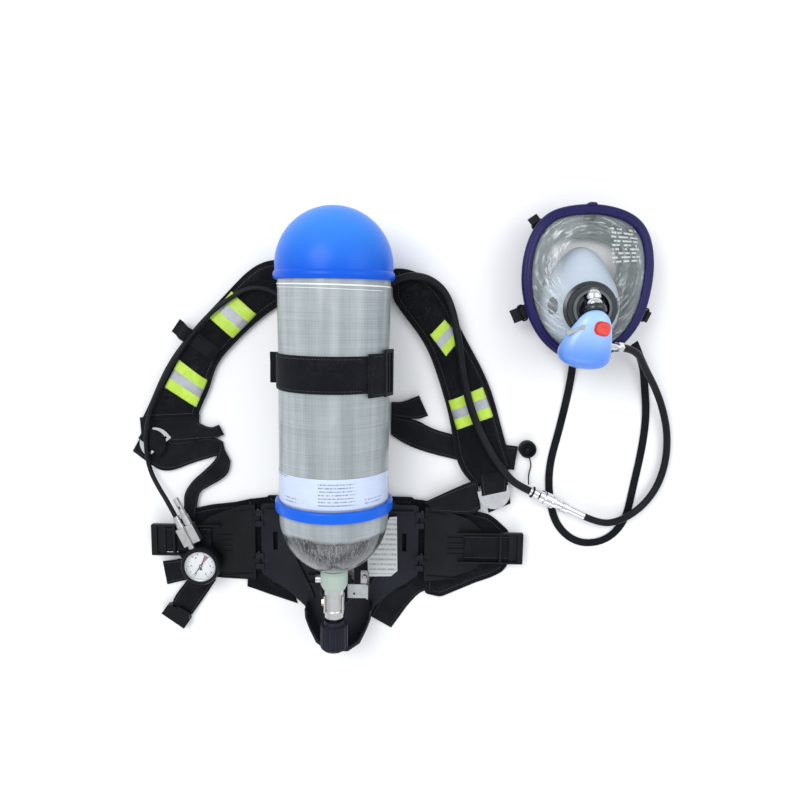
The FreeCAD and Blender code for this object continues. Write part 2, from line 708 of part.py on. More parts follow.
def make_plate_screws():
    sheet_top = size("plate_high") + 0.02
    screws = []
    for x, y, z in ((-34, 262, sheet_top), (34, 262, sheet_top), (-30, -163, sheet_top),
                    (40, -179, sheet_top + 2.1)):
        head = DOC.addObject("Part::Cone", f"screw_head_{len(screws)}")
        head.Radius1, head.Radius2, head.Height = 4.5, 3.2, 2.6
        head.Placement.Base = Vector(x, y, z)
        socket = DOC.addObject("Part::Prism", f"screw_socket_{len(screws)}")
        socket.Polygon, socket.Circumradius, socket.Height = 6, 1.8, 2
        socket.Placement.Base = Vector(x, y, z + 1.2)
        screws.append(cut_from(f"screw_{len(screws)}", head, socket, listed=False))
    group_of("plate_screws", screws)


# --------------------------------------------------------------------------- padding and webbing
HIP_PADS = {
    "left": [(-138, -53), (-168, -60), (-208, -65), (-237, -72), (-262, -94), (-263, -150),
             (-232, -180), (-196, -188), (-147, -190), (-138, -193)],
    "right": [(138, -54), (238, -74), (251, -83), (272, -102), (273, -158), (264, -171),
              (246, -181), (221, -190), (164, -216), (138, -210)],
}
SHOULDER_PADS = {
    "left": ([(-80, 322), (-130, 313), (-169, 278), (-226, 218), (-275, 151), (-304, 90),
              (-314, 71)],
             [(-80, 262), (-116, 238), (-166, 192), (-193, 157), (-206, 120), (-222, 84),
              (-224, 76)]),
    "right": ([(80, 312), (111, 309), (147, 286), (186, 222), (230, 140), (260, 48), (275, 5)],
              [(80, 266), (93, 247), (127, 202), (153, 142), (175, 62), (183, 20), (221, -30)]),
}


def make_padding():
    low, high = size("pad_low"), size("hip_pad_high")
    pads = []
    for side in (-1, 1):
        corners = [(62, -47), (118, -48), (118, -196), (96, -208), (62, -200)]
        pads.append(polygon_face([(side * x, y) for x, y in corners], low)
                    .extrude(Vector(0, 0, high - low)))
    shaped("lumbar_pads", Part.makeCompound(pads))
    for name, corners in HIP_PADS.items():
        slab(f"hip_pad_{name}", corners, low, high)
    for name, (outer, inner) in SHOULDER_PADS.items():
        pad = ribbon_shape(outer, inner, size("shoulder_pad_low"), size("shoulder_pad_high"))
        shaped(f"shoulder_pad_{name}", pad)


def flat_pieces(label, pieces):
    """Straight-sided flat pieces in one node: each is (corners, low, thickness)."""
    solids = [polygon_face(corners, low).extrude(Vector(0, 0, thick))
              for corners, low, thick in pieces]
    return shaped(label, Part.makeCompound(solids) if len(solids) > 1 else solids[0])


def make_webbing():
    top, web = size("shoulder_pad_high") + 0.02, size("web_thick")
    patches = [[(-166, 274), (-128, 240), (-165, 203), (-200, 234)],
               [(-248, 169), (-206, 137), (-224, 95), (-271, 126)],
               [(138, 212), (160, 236), (186, 208), (163, 180)],
               [(169, 110), (221, 133), (239, 87), (183, 65)]]
    flat_pieces("reflective_patches", [(corners, top, 0.7) for corners in patches])
    flat_pieces("shoulder_webbing_left", [
        ([(-241, 220), (-257, 199), (-205, 162), (-192, 185)], top + 1, web),
        ([(-330, 21), (-301, -1), (-287, -10), (-267, -10), (-236, 3), (-208, 12), (-183, 20),
          (-187, 39), (-202, 46), (-228, 44), (-262, 38), (-290, 46), (-316, 46)], 3, web),
        ([(-176, 1), (-178, -12), (-189, -23), (-209, -34), (-225, -39), (-234, -60),
          (-250, -60), (-250, -47), (-237, -26), (-216, -8), (-198, 11), (-183, 20)], 5, web),
        ([(-313, 70), (-225, 75), (-226, 40), (-268, 36), (-312, 40)], 5, web),
        ([(-206, 62), (-192, 66), (-184, 50), (-198, 44)], 5, web)])
    flat_pieces("shoulder_webbing_right", [
        ([(135, -52), (209, -16), (217, -17), (224, -61), (211, -73), (150, -66)],
         top + 0.1, web),
        ([(232, -34), (266, -12), (273, -56), (238, -72)], 3, web)])
    flat_pieces("side_straps", [
        ([(80, 84), (121, 78), (144, 64), (172, 56), (178, 15), (139, 25), (105, 37), (80, 53)],
         3, web),
        ([(80, 106), (99, 106), (123, 117), (138, 85), (121, 78), (80, 84)], 5, web),
        ([(53, -251), (84, -270), (128, -214), (100, -214)], 0.2, web)])
    flat_pieces("waist_strap_left", [
        ([(-251, -194), (-271, -220), (-270, -231), (-237, -246), (-227, -228), (-203, -192)],
         1, web),
        ([(-289, -162), (-283, -201), (-256, -193), (-264, -157)], 1, web)])


def make_buckles():
    for side, name, shift in ((-1, "left", 7), (1, "right", 0)):
        buckle = new_body(f"waist_buckle_{name}")
        far = 300 if side < 0 else 293
        low, high = -152 + shift, -101 + shift
        outline = sketch_on(buckle, f"buckle_{name}_outline", "XY_Plane", 13.2)
        draw_outline(outline, [(side * 190, low), (side * far, low), (side * far, high),
                               (side * 190, high)])
        padded(buckle, f"buckle_{name}_frame", outline, 7)
        windows = sketch_on(buckle, f"buckle_{name}_windows", "XY_Plane", 20.2)
        draw_outline(windows, [(side * 186, low + 3), (side * (far - 38), low + 3),
                               (side * (far - 38), high - 3), (side * 186, high - 3)])
        draw_outline(windows, [(side * (far - 34), low + 3), (side * (far - 22), low + 3),
                               (side * (far - 22), high - 3), (side * (far - 34), high - 3)])
        pocketed(buckle, f"buckle_{name}_openings", windows, 12)
        dip = sketch_on(buckle, f"buckle_{name}_dip", "XY_Plane", 20.2)
        draw_outline(dip, [(side * (far - 22.5), low + 3), (side * (far - 9), low + 3),
                           (side * (far - 9), high - 3), (side * (far - 22.5), high - 3)])
        pocketed(buckle, f"buckle_{name}_recess", dip, 3)
        softened(buckle, f"buckle_{name}_corners", 2,
                 lambda e: is_upright(e) and abs(abs(e.Vertexes[0].X) - far) < 0.01)

    catch = new_body("side_release_buckle")
    outline = sketch_on(catch, "catch_outline", "XY_Plane", 0.4)
    draw_outline(outline, [(-281, -233), (-291, -247), (-255, -273), (-245, -258), (-247, -250),
                           (-243, -247), (-262, -235), (-271, -236), (-272, -231)])
    padded(catch, "catch_shell", outline, 12)
    throat = sketch_on(catch, "catch_throat", "XZ_Plane")
    draw_outline(throat, [(-284, 3), (-252, 3), (-252, 9.5), (-284, 9.5)])
    DOC.recompute()
    mouth = catch.newObject("PartDesign::Pocket", "catch_mouth")
    mouth.Profile = throat
    mouth.Type = 0
    mouth.Length = 262
    mouth.Reversed = False
    DOC.recompute()
    if catch.Shape.Volume > 12 * 1100:
        mouth.Reversed = True
        DOC.recompute()

    adjusters = []
    for name, x, y, z, turn in (("left", -291, 36, 8, 40), ("right", 244, -36, 17, 193.7)):
        place = Placement(Vector(x, y, z), Rotation(Vector(0, 0, 1), turn))
        disc = DOC.addObject("Part::Cylinder", f"adjuster_disc_{name}")
        disc.Radius, disc.Height, disc.Angle = 25, 3, 180
        disc.Placement = place
        bar = block(f"adjuster_bar_{name}", -25, -9, 0, 50, 10, 3, place)
        slot = block(f"adjuster_slot_{name}", -20, -5, -1, 40, 3.5, 5, place)
        plate = fused(f"adjuster_plate_{name}", [disc, bar], listed=False)
        adjusters.append(cut_from(f"adjuster_{name}", plate, slot, listed=False))
    group_of("shoulder_adjusters", adjusters)


def make_cylinder_band():
    radius, axis, foot = size("cyl_radius") + 0.5, size("axis_height"), 140
    sleeve = rod("band_sleeve", (0, foot, axis), (0, 1, 0), radius + 2.4, 51)
    hollow = rod("band_hollow", (0, foot - 1, axis), (0, 1, 0), radius, 53)
    ring = cut_from("band_ring", sleeve, hollow, listed=False)
    tab = block("band_tab", -94, foot + 2, axis - 22, 14, 47, 3)
    clear = rod("band_tab_clear", (0, foot - 1, axis), (0, 1, 0), radius + 1, 53)
    ear = cut_from("band_ear", tab, clear, listed=False)
    fused("cylinder_band", [ring, ear])

    tilt = Rotation(Vector(0, 1, 0), -22)
    middle = Placement(Vector(0, foot + 25.5, axis), tilt)
    frame = block("buckle_outside", radius + 2.9, -32, -13, 3.4, 64, 26, middle)
    window = block("buckle_inside", radius + 2, -27, -8, 6, 54, 16, middle)
    bar = block("buckle_bar", radius + 3.2, -28, -1.5, 2.6, 56, 3, middle)
    loop = cut_from("buckle_loop", frame, window, listed=False)
    fused("band_buckle", [loop, bar])


# --------------------------------------------------------------------------- pressure gauge
def gauge_spot(along, across=0):
    """A point beside the gauge: along its stem's line and across it."""
    turn = math.radians(size("gauge_turn"))
    return (size("gauge_x") + along * math.cos(turn) + across * math.sin(turn),
            size("gauge_y") + along * math.sin(turn) - across * math.cos(turn))


def make_gauge():
    low, outer, dial = size("gauge_low"), size("boot_radius"), size("dial_radius")
    place = upright(size("gauge_x"), size("gauge_y"), low)
    turn = math.radians(size("gauge_turn"))
    along = (math.cos(turn), math.sin(turn), 0)
    boot = turned("boot_shell", [
        (0, 0), ("Sizes.boot_radius - 3", 0), ("Sizes.boot_radius", 3),
        ("Sizes.boot_radius", 15.5), ("Sizes.boot_radius - 2", 18.8),
        ("Sizes.dial_radius - 0.6", 18.8), ("Sizes.dial_radius - 0.6", 17.3),
        ("Sizes.dial_radius + 0.5", 17.3), ("Sizes.dial_radius + 0.5", 3), (0, 3)], place)
    MADE.remove(boot)
    passage = rod("boot_passage", (*gauge_spot(dial - 4), low + 10), along, 5.2, 14)
    cut_from("gauge_boot", boot, passage)
    turned("gauge_case", [
        (0, 3.1), ("Sizes.dial_radius + 0.2", 3.1), ("Sizes.dial_radius + 0.2", 17.2),
        ("Sizes.dial_radius - 1.4", 17.2), ("Sizes.dial_radius - 1.4", 13.5), (0.85, 13.5),
        (0.85, 15.4), (0, 15.4)], place)
    turned("gauge_lens", [
        (0, 15.9), ("Sizes.dial_radius - 1.5", 15.9), ("Sizes.dial_radius - 1.5", 16.7),
        ("Sizes.dial_radius - 3.5", 17.1), (0, 17.1)], place)

    needle = new_body("gauge_needle")
    outline = sketch_on(needle, "needle_outline", "XY_Plane")
    draw_outline(outline, [(-0.9, 0), (-0.35, 18), (0.35, 18), (0.9, 0), (1.5, -6), (-1.5, -6)])
    padded(needle, "needle_blade", outline, 0.5)
    hub = sketch_on(needle, "needle_hub", "XY_Plane")
    draw_circle(hub, 2.4, 0, 0)
    padded(needle, "needle_hub_disc", hub, 0.9)
    eye = sketch_on(needle, "needle_eye", "XY_Plane", 0.9)
    draw_circle(eye, 0.9, 0, 0)
    pocketed(needle, "needle_eye_hole", eye, 3)
    needle.Placement = Placement(Vector(size("gauge_x"), size("gauge_y"), low + 14.2),
                                 Rotation(Vector(0, 0, 1), 145))

    level = low + 10
    stem = rod("gauge_stem", (*gauge_spot(dial + 0.3), level), along, 5, 15)
    turned_place = Placement(Vector(*gauge_spot(0), 0), Rotation(Vector(0, 0, 1), size("gauge_turn") - 90))
    body = block("gauge_manifold", -8, 38, level - 7, 28, 30, 14, turned_place)
    groove = block("gauge_manifold_step", 5.5, 36, level + 3.5, 3, 34, 6, turned_place)
    solid = fused("gauge_block_solid", [stem, body], listed=False)
    cut_from("gauge_block", solid, groove)

    ferrule = rod("ferrule_barrel", (*gauge_spot(68.1), level), along, 5.2, 20)
    collar = rod("ferrule_collar", (*gauge_spot(68.1), level), along, 6.2, 5)
    fused("gauge_hose_ferrule", [ferrule, collar])
    whistle = rod("whistle_barrel", (*gauge_spot(68.1, 13.5), level), along, 6, 16)
    tube = rod("whistle_nose", (*gauge_spot(84, 13.5), level), along, 4.2, 30)
    bore = rod("whistle_bore", (*gauge_spot(92, 13.5), level), along, 2.6, 24)
    slot = block("whistle_slot", 12, 96, level + 1, 3, 5, 5, turned_place)
    solid = fused("whistle_solid", [whistle, tube], listed=False)
    cuts = fused("whistle_cuts", [bore, slot], listed=False)
    cut_from("warning_whistle", solid, cuts)


# --------------------------------------------------------------------------- hoses and coupling
def coupling_line():
    turn = math.radians(size("coupling_turn"))
    start = Vector(size("coupling_x"), size("coupling_y"), size("coupling_z"))
    return start, Vector(math.cos(turn), math.sin(turn), 0)


def inlet_line():
    """Where the demand valve's hose enters, and which way it points."""
    return Vector(410, 201, 85), Vector(-32, 4, 19).normalize()


def make_hoses():
    level = size("gauge_low") + 10
    gauge_end = (*gauge_spot(88.1), level)
    hose("gauge_hose", [
        (-13, -127, 27), (-13, -98, 27), (-36, -66, 22), (-57, -27, 19), (-62, 30, 18),
        (-61, 110, 18), (-64, 190, 19), (-74, 250, 21), (-98, 276, 23), (-134, 282, 24),
        (-168, 263, 24), (-205, 233, 24), (-238, 192, 24), (-267, 147, 24), (-289, 103, 23),
        (-302, 62, 20), (-305, 24, 15), (-300, -8, 14), (-286, -32, 20),
        (*gauge_spot(114), level), gauge_end], size("gauge_hose_dia"))

    start, along = coupling_line()
    lead = start - along * 23
    hose("supply_hose", [
        (10, -127, 27), (10, -92, 27), (30, -56, 23), (53, -20, 21), (60, 40, 21),
        (59, 110, 21), (56, 185, 22), (55, 254, 22), (70, 286, 23), (99, 301, 24),
        (131, 299, 24), (157, 281, 24), (171, 251, 24), (181, 207, 24), (188, 160, 24),
        (199, 112, 24), (215, 70, 24), (237, 29, 24), (262, -5, 22.5), tuple(lead),
        tuple(start)], size("supply_hose_dia"))

    end = start + along * 96
    inlet, inward = inlet_line()
    hose("demand_hose", [
        tuple(end), tuple(end + along * 31), (448, -80, 12.5), (480, -58, 12), (504, -25, 10.5),
        (516, 18, 9), (515, 64, 9), (502, 106, 14), (483, 140, 26), (461, 168, 43),
        tuple(inlet - inward * 34), tuple(inlet)], size("demand_hose_dia"))

    flat_strap("neck_strap", [
        (359, 178, 16), (361, 158, 6), (357, 120, 1.2), (346, 64, 1.2), (333, 8, 1.2),
        (334, -40, 1.2), (347, -92, 1.2), (384, -123, 1.2), (430, -118, 1.2), (460, -84, 1.2),
        (469, -26, 1.2), (479, 34, 1.2), (483, 88, 1.2), (476, 136, 5), (467, 176, 15),
        (446, 205, 34)], size("strap_width"), 1.8)


def make_coupling():
    start, along = coupling_line()
    place = Placement(start, Rotation(Vector(0, 1, 0), along))
    turned("coupling_socket", [
        (0, 0.02), (6.9, 0.02), (6.9, 15), (8.2, 16), (9.5, 17), (9.5, 44), (7.5, 44),
        (5.4, 42), (5.4, 28), (0, 28)], place)
    turned("coupling_sleeve", [
        (9.55, 25), (10.6, 25), (11.2, 26.5), (11.2, 29), (10.6, 30), (10.6, 38), (11.2, 39),
        (11.2, 42), (10.4, 43), (9.55, 43)], place)
    turned("coupling_plug", [
        (0, 29), (5.3, 29), (5.3, 44.1), (8.6, 44.1), (8.6, 50), (7.4, 51), (7.4, 56), (8.8, 57),
        (8.8, 66), (6.6, 67), (6.6, 95.98), (0, 95.98)], place)

    x, y = 296, 34
    cap = turned("dust_cap_cup", [
        (0, 0.5), (12, 0.5), (13.5, 2), (13.5, 13), (11.5, 14.5), (10.5, 14.5), (10.5, 5),
        (3, 5), (3, 11), (0, 11)], upright(x, y, 0))
    MADE.remove(cap)
    hose_ring = DOC.addObject("Part::Torus", "tether_ring")
    hose_ring.Radius1, hose_ring.Radius2 = 8.3, 1.2
    hose_ring.Placement = Placement(start + along * 5, Rotation(Vector(0, 0, 1), along))
    path = hose_route("dust cap tether", [
        (x + 4, y - 14.0, 4), (x + 8, y - 27, 3), (x + 4, y - 42, 3),
        (300, -24, 7.5)], 2, limp=True)
    begin = Vector(x + 4, y - 14.0, 4)
    ring = Part.Wire(Part.Circle(begin, Vector(4, -13, -1).normalize(), 1).toShape())
    tether = DOC.addObject("Part::Feature", "tether_cord")
    tether.Shape = path.makePipeShell([ring], True, True)
    group_of("dust_cap", [cap, hose_ring, tether])


# --------------------------------------------------------------------------- face mask
def make_mask():
    x, y = size("mask_x"), size("mask_y")
    half, up, down = size("mask_half"), size("mask_up"), size("mask_down")
    port_x, port_y, port = size("port_x"), size("port_y"), size("port_radius")

    def outline(grow, height):
        return egg(x, y, half + grow, up + grow, down + grow, height)

    seal = skin([outline(-9, 0.2), outline(-1, 30), outline(0, 56)],
                [outline(-14, 0.2), outline(-5.5, 30), outline(-5, 56)])
    lip = skin([outline(-14.5, 0.2), outline(-14.5, 4)], [outline(-30, 0.2), outline(-30, 4)])
    shaped("face_seal", seal.fuse(lip) if seal.distToShape(lip)[0] < 0.01 else seal)

    frame = skin([outline(5, 56.1), outline(4, 66)], [outline(-9, 56.1), outline(-10, 66)])
    shaped("visor_frame", frame)

    def bulge(inset):
        """Rings of the visor from its frame up to the port."""
        return [egg(x, y, half - 10.5 - inset, up - 10.5 - inset, down - 10.5 - inset, 57 - inset / 4),
                egg(x - 2, y - 12, 0.79 * half - inset, 0.72 * up - inset, 0.74 * down - inset,
                    84 - inset * 0.8, 0.06),
                egg(port_x, port_y, 36.5 - inset, 36.5 - inset, 36.5 - inset, 100 + inset / 4, 0)]

    shaped("visor", skin(bulge(0), bulge(2.6)))
    cup_outer = [egg(port_x, 268, 50, 76, 52, 22, -0.25), egg(port_x, 264, 43, 58, 42, 58, -0.15),
                 egg(port_x, port_y, 31, 31, 31, 92.6, 0)]
    cup_inner = [egg(port_x, 268, 47, 73, 49, 21.5, -0.25), egg(port_x, 264, 40, 55, 39, 58, -0.15),
                 egg(port_x, port_y, 28, 28, 28, 92.8, 0)]
    shaped("nose_cup", skin(cup_outer, cup_inner))

    turned("port_housing", [
        ("Sizes.port_radius - 11", "Sizes.port_low"), ("Sizes.port_radius - 0.5", "Sizes.port_low"),
        ("Sizes.port_radius - 0.5", 100.6), ("Sizes.port_radius + 4", 100.6),
        ("Sizes.port_radius + 4", 103.5), ("Sizes.port_radius", 105.5),
        ("Sizes.port_radius - 2", "Sizes.port_high"), ("Sizes.port_radius - 7", "Sizes.port_high"),
        ("Sizes.port_radius - 7", "Sizes.port_high - 5"),
        ("Sizes.port_radius - 11", "Sizes.port_high - 5")], upright(port_x, port_y))
    turned("port_ring", [
        ("Sizes.port_radius - 11", "Sizes.port_high - 4.9"),
        ("Sizes.port_radius - 7.1", "Sizes.port_high - 4.9"),
        ("Sizes.port_radius - 7.1", "Sizes.port_high + 3"),
        ("Sizes.port_radius - 9", "Sizes.port_high + 4.5"),
        ("Sizes.port_radius - 11", "Sizes.port_high + 4.5")], upright(port_x, port_y))

    sections = [(251, 358, 127, 19, 10), (238, 357, 124, 26, 15), (216, 351, 118, 36, 22),
                (194, 347, 115, 38, 22), (180, 350, 112, 29, 17), (172, 353, 110, 14, 9)]
    wires = []
    for station, middle, height, wide, tall in sections:
        ring = Part.Ellipse(Vector(middle + wide, station, height),
                            Vector(middle, station, height + tall),
                            Vector(middle, station, height))
        wires.append(Part.Wire(ring.toShape()))
    housing = DOC.addObject("Part::Feature", "demand_shell")
    port_room = Part.makeCylinder(39, 28, Vector(port_x, port_y, 90))
    visor_room = Part.makeLoft(bulge(-1.5), True, False)
    housing.Shape = Part.makeLoft(wires, True, False).cut(port_room).cut(visor_room)
    spigot = rod("demand_spigot", (port_x, port_y, 97), (0, 0, 1), 22.6, 23)
    solid = fused("demand_solid", [housing, spigot], listed=False)
    button_hole = rod("button_hole", (367, 229, 129), (0, 0, 1), 10, 20)
    shelf = rod("lever_shelf", (341, 231, 134.5), (0, 0, 1), 24, 20)
    first, along = inlet_line()
    inlet = rod("inlet_bore", tuple(first), tuple(along), 5.3, 60)
    cuts = fused("demand_cuts", [button_hole, shelf, inlet], listed=False)
    cut_from("demand_valve_body", solid, cuts)
    turned("bypass_button", [(0, 133), (9.7, 133), (9.7, 140.5), (8.2, 142.6), (5, 143.2),
                             (0, 143.4)], upright(367, 229))
    arm = block("lever_arm", -24, -2.5, 134.8, 24, 5, 2.2,
                Placement(Vector(341, 231, 0), Rotation(Vector(0, 0, 1), 22)))
    boss = rod("lever_boss", (341, 231, 134.8), (0, 0, 1), 4, 3)
    fused("lock_lever", [arm, boss])

    nut = DOC.addObject("Part::Prism", "inlet_nut")
    nut.Polygon, nut.Circumradius, nut.Height = 6, 7.8, 9
    nut.Placement = Placement(first + along * 0.02, Rotation(Vector(0, 0, 1), along))
    nipple = rod("inlet_nipple", tuple(first + along * 5), tuple(along), 5, 42)
    fused("hose_inlet_fitting", [nut, nipple])

    anchors = [(-90, -50, 205, 20), (90, -50, -25, 14), (-72, 78, 125, 18), (72, 78, 55, 12),
               (2, 100, 90, 7)]
    tabs = []
    for number, (dx, dy, turn, long) in enumerate(anchors):
        place = Placement(Vector(x + dx, y + dy, 38), Rotation(Vector(0, 0, 1), turn))
        strap = block(f"harness_strap_{number}", 2, -9, 0, long, 18, 2.4, place)
        tabs.append(strap)
    group_of("harness_straps", tabs)


# --------------------------------------------------------------------------- build and write
def main():
    make_cylinder()
    make_blue_guards()
    make_valve()
    make_reducer()
    make_back_plate()
    for side, name in ((-1, "left"), (1, "right")):
        make_hip_plate(side, name)
    make_hinge_pins()
    make_saddles()
    make_plate_screws()
    make_padding()
    make_webbing()
    make_buckles()
    make_cylinder_band()
    make_gauge()
    make_hoses()
    make_coupling()
    make_mask()
    finish()


def finish():
    """Check every object, then write one file for each sub-part."""
    DOC.recompute()
    for thing in DOC.Objects:
        if "Invalid" in thing.State or "Error" in thing.State:
            raise SystemExit(f"{thing.Label} failed: {thing.State}")
    for made in MADE:
        shape = made.Shape
        if shape.isNull() or not shape.isValid():
            raise SystemExit(f"{made.Label}: shape is not valid")
        shape.exportStep(f"parts/{made.Label}.step")
        print(f"{made.Label}: {len(shape.Solids)} solid(s), {shape.Volume / 1000:.1f} cm3")
    print(len(MADE), "nodes")


main()
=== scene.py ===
"""Air pack: the looks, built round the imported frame.

Everything is in metres in the pack's own frame: +Z up from the floor, +Y towards the domed end
of the cylinder, +X towards the face mask.
"""

import math

import bmesh
import bpy
from mathutils import Matrix, Vector, noise
from mathutils.bvhtree import BVHTree


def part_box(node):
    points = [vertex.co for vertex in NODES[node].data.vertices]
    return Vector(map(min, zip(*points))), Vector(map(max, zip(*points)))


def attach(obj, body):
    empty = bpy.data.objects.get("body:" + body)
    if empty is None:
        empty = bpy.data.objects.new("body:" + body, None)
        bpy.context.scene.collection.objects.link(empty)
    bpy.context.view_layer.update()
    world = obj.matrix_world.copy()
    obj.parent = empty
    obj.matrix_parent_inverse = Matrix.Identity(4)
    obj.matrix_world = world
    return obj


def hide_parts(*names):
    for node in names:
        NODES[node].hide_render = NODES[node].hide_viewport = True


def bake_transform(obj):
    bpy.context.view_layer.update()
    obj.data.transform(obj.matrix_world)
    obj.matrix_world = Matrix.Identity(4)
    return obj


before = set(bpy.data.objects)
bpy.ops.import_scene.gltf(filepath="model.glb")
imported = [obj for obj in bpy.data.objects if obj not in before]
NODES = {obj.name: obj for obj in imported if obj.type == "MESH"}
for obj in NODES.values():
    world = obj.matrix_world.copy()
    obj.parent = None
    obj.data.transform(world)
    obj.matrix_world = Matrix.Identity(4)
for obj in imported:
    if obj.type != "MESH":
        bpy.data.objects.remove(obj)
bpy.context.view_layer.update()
MM = 0.001
UP = Vector((0, 0, 1))


# ------------------------------------------------------------------ places read from the frame
def middle(node):
    low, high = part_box(node)
    return (low + high) / 2


CYLINDER = middle("neck_guard_ring")            # a point on the cylinder's axis
AXIS_Z = CYLINDER.z
CYL_R = (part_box("cylinder_wrap")[1].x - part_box("cylinder_wrap")[0].x) / 2
PAD_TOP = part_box("shoulder_pad_left")[1].z
GAUGE = middle("gauge_case")


# ------------------------------------------------------------------ mesh helpers
def link(thing):
    bpy.context.scene.collection.objects.link(thing)
    return thing


def mesh_piece(name, verts, faces, smooth=True):
    """A mesh object from points and faces, with its place in its mesh."""
    data = bpy.data.meshes.new(name)
    data.from_pydata([tuple(v) for v in verts], [], faces)
    data.validate()
    data.update()
    if smooth:
        data.polygons.foreach_set("use_smooth", [True] * len(data.polygons))
    return link(bpy.data.objects.new(name, data))


def tidy_mesh(piece, merge=1e-5):
    """Join doubled points and turn every face outwards."""
    work = bmesh.new()
    work.from_mesh(piece.data)
    bmesh.ops.remove_doubles(work, verts=work.verts, dist=merge)
    bmesh.ops.recalc_face_normals(work, faces=work.faces)
    work.to_mesh(piece.data)
    work.free()
    piece.data.update()
    return piece


def facing_up(piece):
    """Turn a sheet over if its faces look down."""
    if piece.data.polygons[0].normal.z < 0:
        piece.data.flip_normals()
    return piece

def mapped(piece, spots):
    """Give a piece a UV map from one spot for each point."""
    layer = piece.data.uv_layers.new(name="along")
    for loop in piece.data.loops:
        layer.data[loop.index].uv = spots[loop.vertex_index]
    return piece

def as_mesh(piece):
    """The piece's mesh with its modifiers baked in."""
    graph = bpy.context.evaluated_depsgraph_get()
    return bpy.data.meshes.new_from_object(piece.evaluated_get(graph))

def lofted(name, rings, cap=False):
    """A skin over rings of equal count."""
    count = len(rings[0])
    verts = [point for ring in rings for point in ring]
    faces = []
    for row in range(len(rings) - 1):
        for i in range(count):
            j = (i + 1) % count
            base = row * count
            faces.append((base + i, base + j, base + count + j, base + count + i))
    if cap:
        faces.append(tuple(reversed(range(count))))
        last = (len(rings) - 1) * count
        faces.append(tuple(range(last, last + count)))
    return mesh_piece(name, verts, faces)


def applied(piece, kind, name, **settings):
    """Put a modifier on a piece and bake it into the mesh."""
    mod = piece.modifiers.new(name, kind)
    for key, value in settings.items():
        setattr(mod, key, value)
    made = as_mesh(piece)
    piece.modifiers.clear()
    old = piece.data
    piece.data = made
    bpy.data.meshes.remove(old)
    return piece


def rounded(piece):
    """One level of subdivision, shaded smooth."""
    applied(piece, "SUBSURF", "round", levels=1, render_levels=1)
    piece.data.polygons.foreach_set("use_smooth", [True] * len(piece.data.polygons))
    return piece

def walled(piece, thickness):
    """Give a skin its wall, inwards."""
    return applied(piece, "SOLIDIFY", "wall", thickness=thickness, offset=-1.0)

def route_curve(name, points, steps):
    """A NURBS curve whose control points are the route."""
    data = bpy.data.curves.new(name, "CURVE")
    data.dimensions = "3D"
    data.resolution_u = steps
    spline = data.splines.new("NURBS")
    spline.points.add(len(points) - 1)
    for spot, point in zip(spline.points, points):
        spot.co = (*point, 1)
    spline.order_u = 3
    spline.use_endpoint_u = True
    return link(bpy.data.objects.new(name, data))

def smooth_line(points, steps):
    """Points along the curve that the route makes."""
    holder = route_curve("line", points, steps)
    made = as_mesh(holder)
    line = [v.co.copy() for v in made.vertices]
    data = holder.data
    bpy.data.objects.remove(holder)
    bpy.data.curves.remove(data)
    bpy.data.meshes.remove(made)
    return line

def hose_curve(name, points, diameter, material):
    """A round hose on its route."""
    hose = route_curve(name, points, 12)
    hose.data.bevel_depth = diameter / 2
    hose.data.bevel_resolution = 5
    hose.data.use_fill_caps = True
    hose.data.materials.append(material)
    return hose

def length_of(line):
    return sum((b - a).length for a, b in zip(line, line[1:]))


def mm(points):
    """Points in millimetres as vectors in metres."""
    return [Vector(p) * MM for p in points]


def band_along(name, line, width, thick):
    """Flat webbing along a line: a level flat section with softened edges."""
    half, deep, edge = width / 2, thick / 2, 0.0004
    section = [(-half, 0), (-half + edge, deep), (-half * 0.5, deep), (0, deep), (half * 0.5, deep),
               (half - edge, deep), (half, 0), (half - edge, -deep), (half * 0.5, -deep), (0, -deep),
               (-half * 0.5, -deep), (-half + edge, -deep)]
    rings = []
    for i, point in enumerate(line):
        ahead = (line[min(i + 1, len(line) - 1)] - line[max(i - 1, 0)]).normalized()
        side = ahead.cross(UP).normalized()
        rise = side.cross(ahead).normalized()
        rings.append([point + side * a + rise * b for a, b in section])
    piece = lofted(name, rings, cap=True)
    return with_length_map(tidy_mesh(piece), line)


def with_length_map(piece, line):
    """A UV map whose first number runs across and whose second runs along the line, in metres."""
    total = [0.0]
    for a, b in zip(line, line[1:]):
        total.append(total[-1] + (b - a).length)
    ends = [(line[max(i - 1, 0)], line[min(i + 1, len(line) - 1)]) for i in range(len(line))]
    spots = []
    for vert in piece.data.vertices:
        i = min(range(len(line)), key=lambda k: (line[k] - vert.co).length_squared)
        ahead = (ends[i][1] - ends[i][0]).normalized()
        side = ahead.cross(UP)
        off = vert.co - line[i]
        spots.append((off.dot(side), total[i] + off.dot(ahead)))
    return mapped(piece, spots)


# ------------------------------------------------------------------ shader groups
def new_group(name, inputs, outputs):
    """A shader group with named sockets; returns it with its inside ends."""
    group = bpy.data.node_groups.new(name, "ShaderNodeTree")
    for label, kind, value in inputs:
        socket = group.interface.new_socket(label, in_out="INPUT", socket_type=kind)
        if value is not None:
            socket.default_value = value
    for label, kind in outputs:
        group.interface.new_socket(label, in_out="OUTPUT", socket_type=kind)
    start = group.nodes.new("NodeGroupInput")
    end = group.nodes.new("NodeGroupOutput")
    return group, start, end


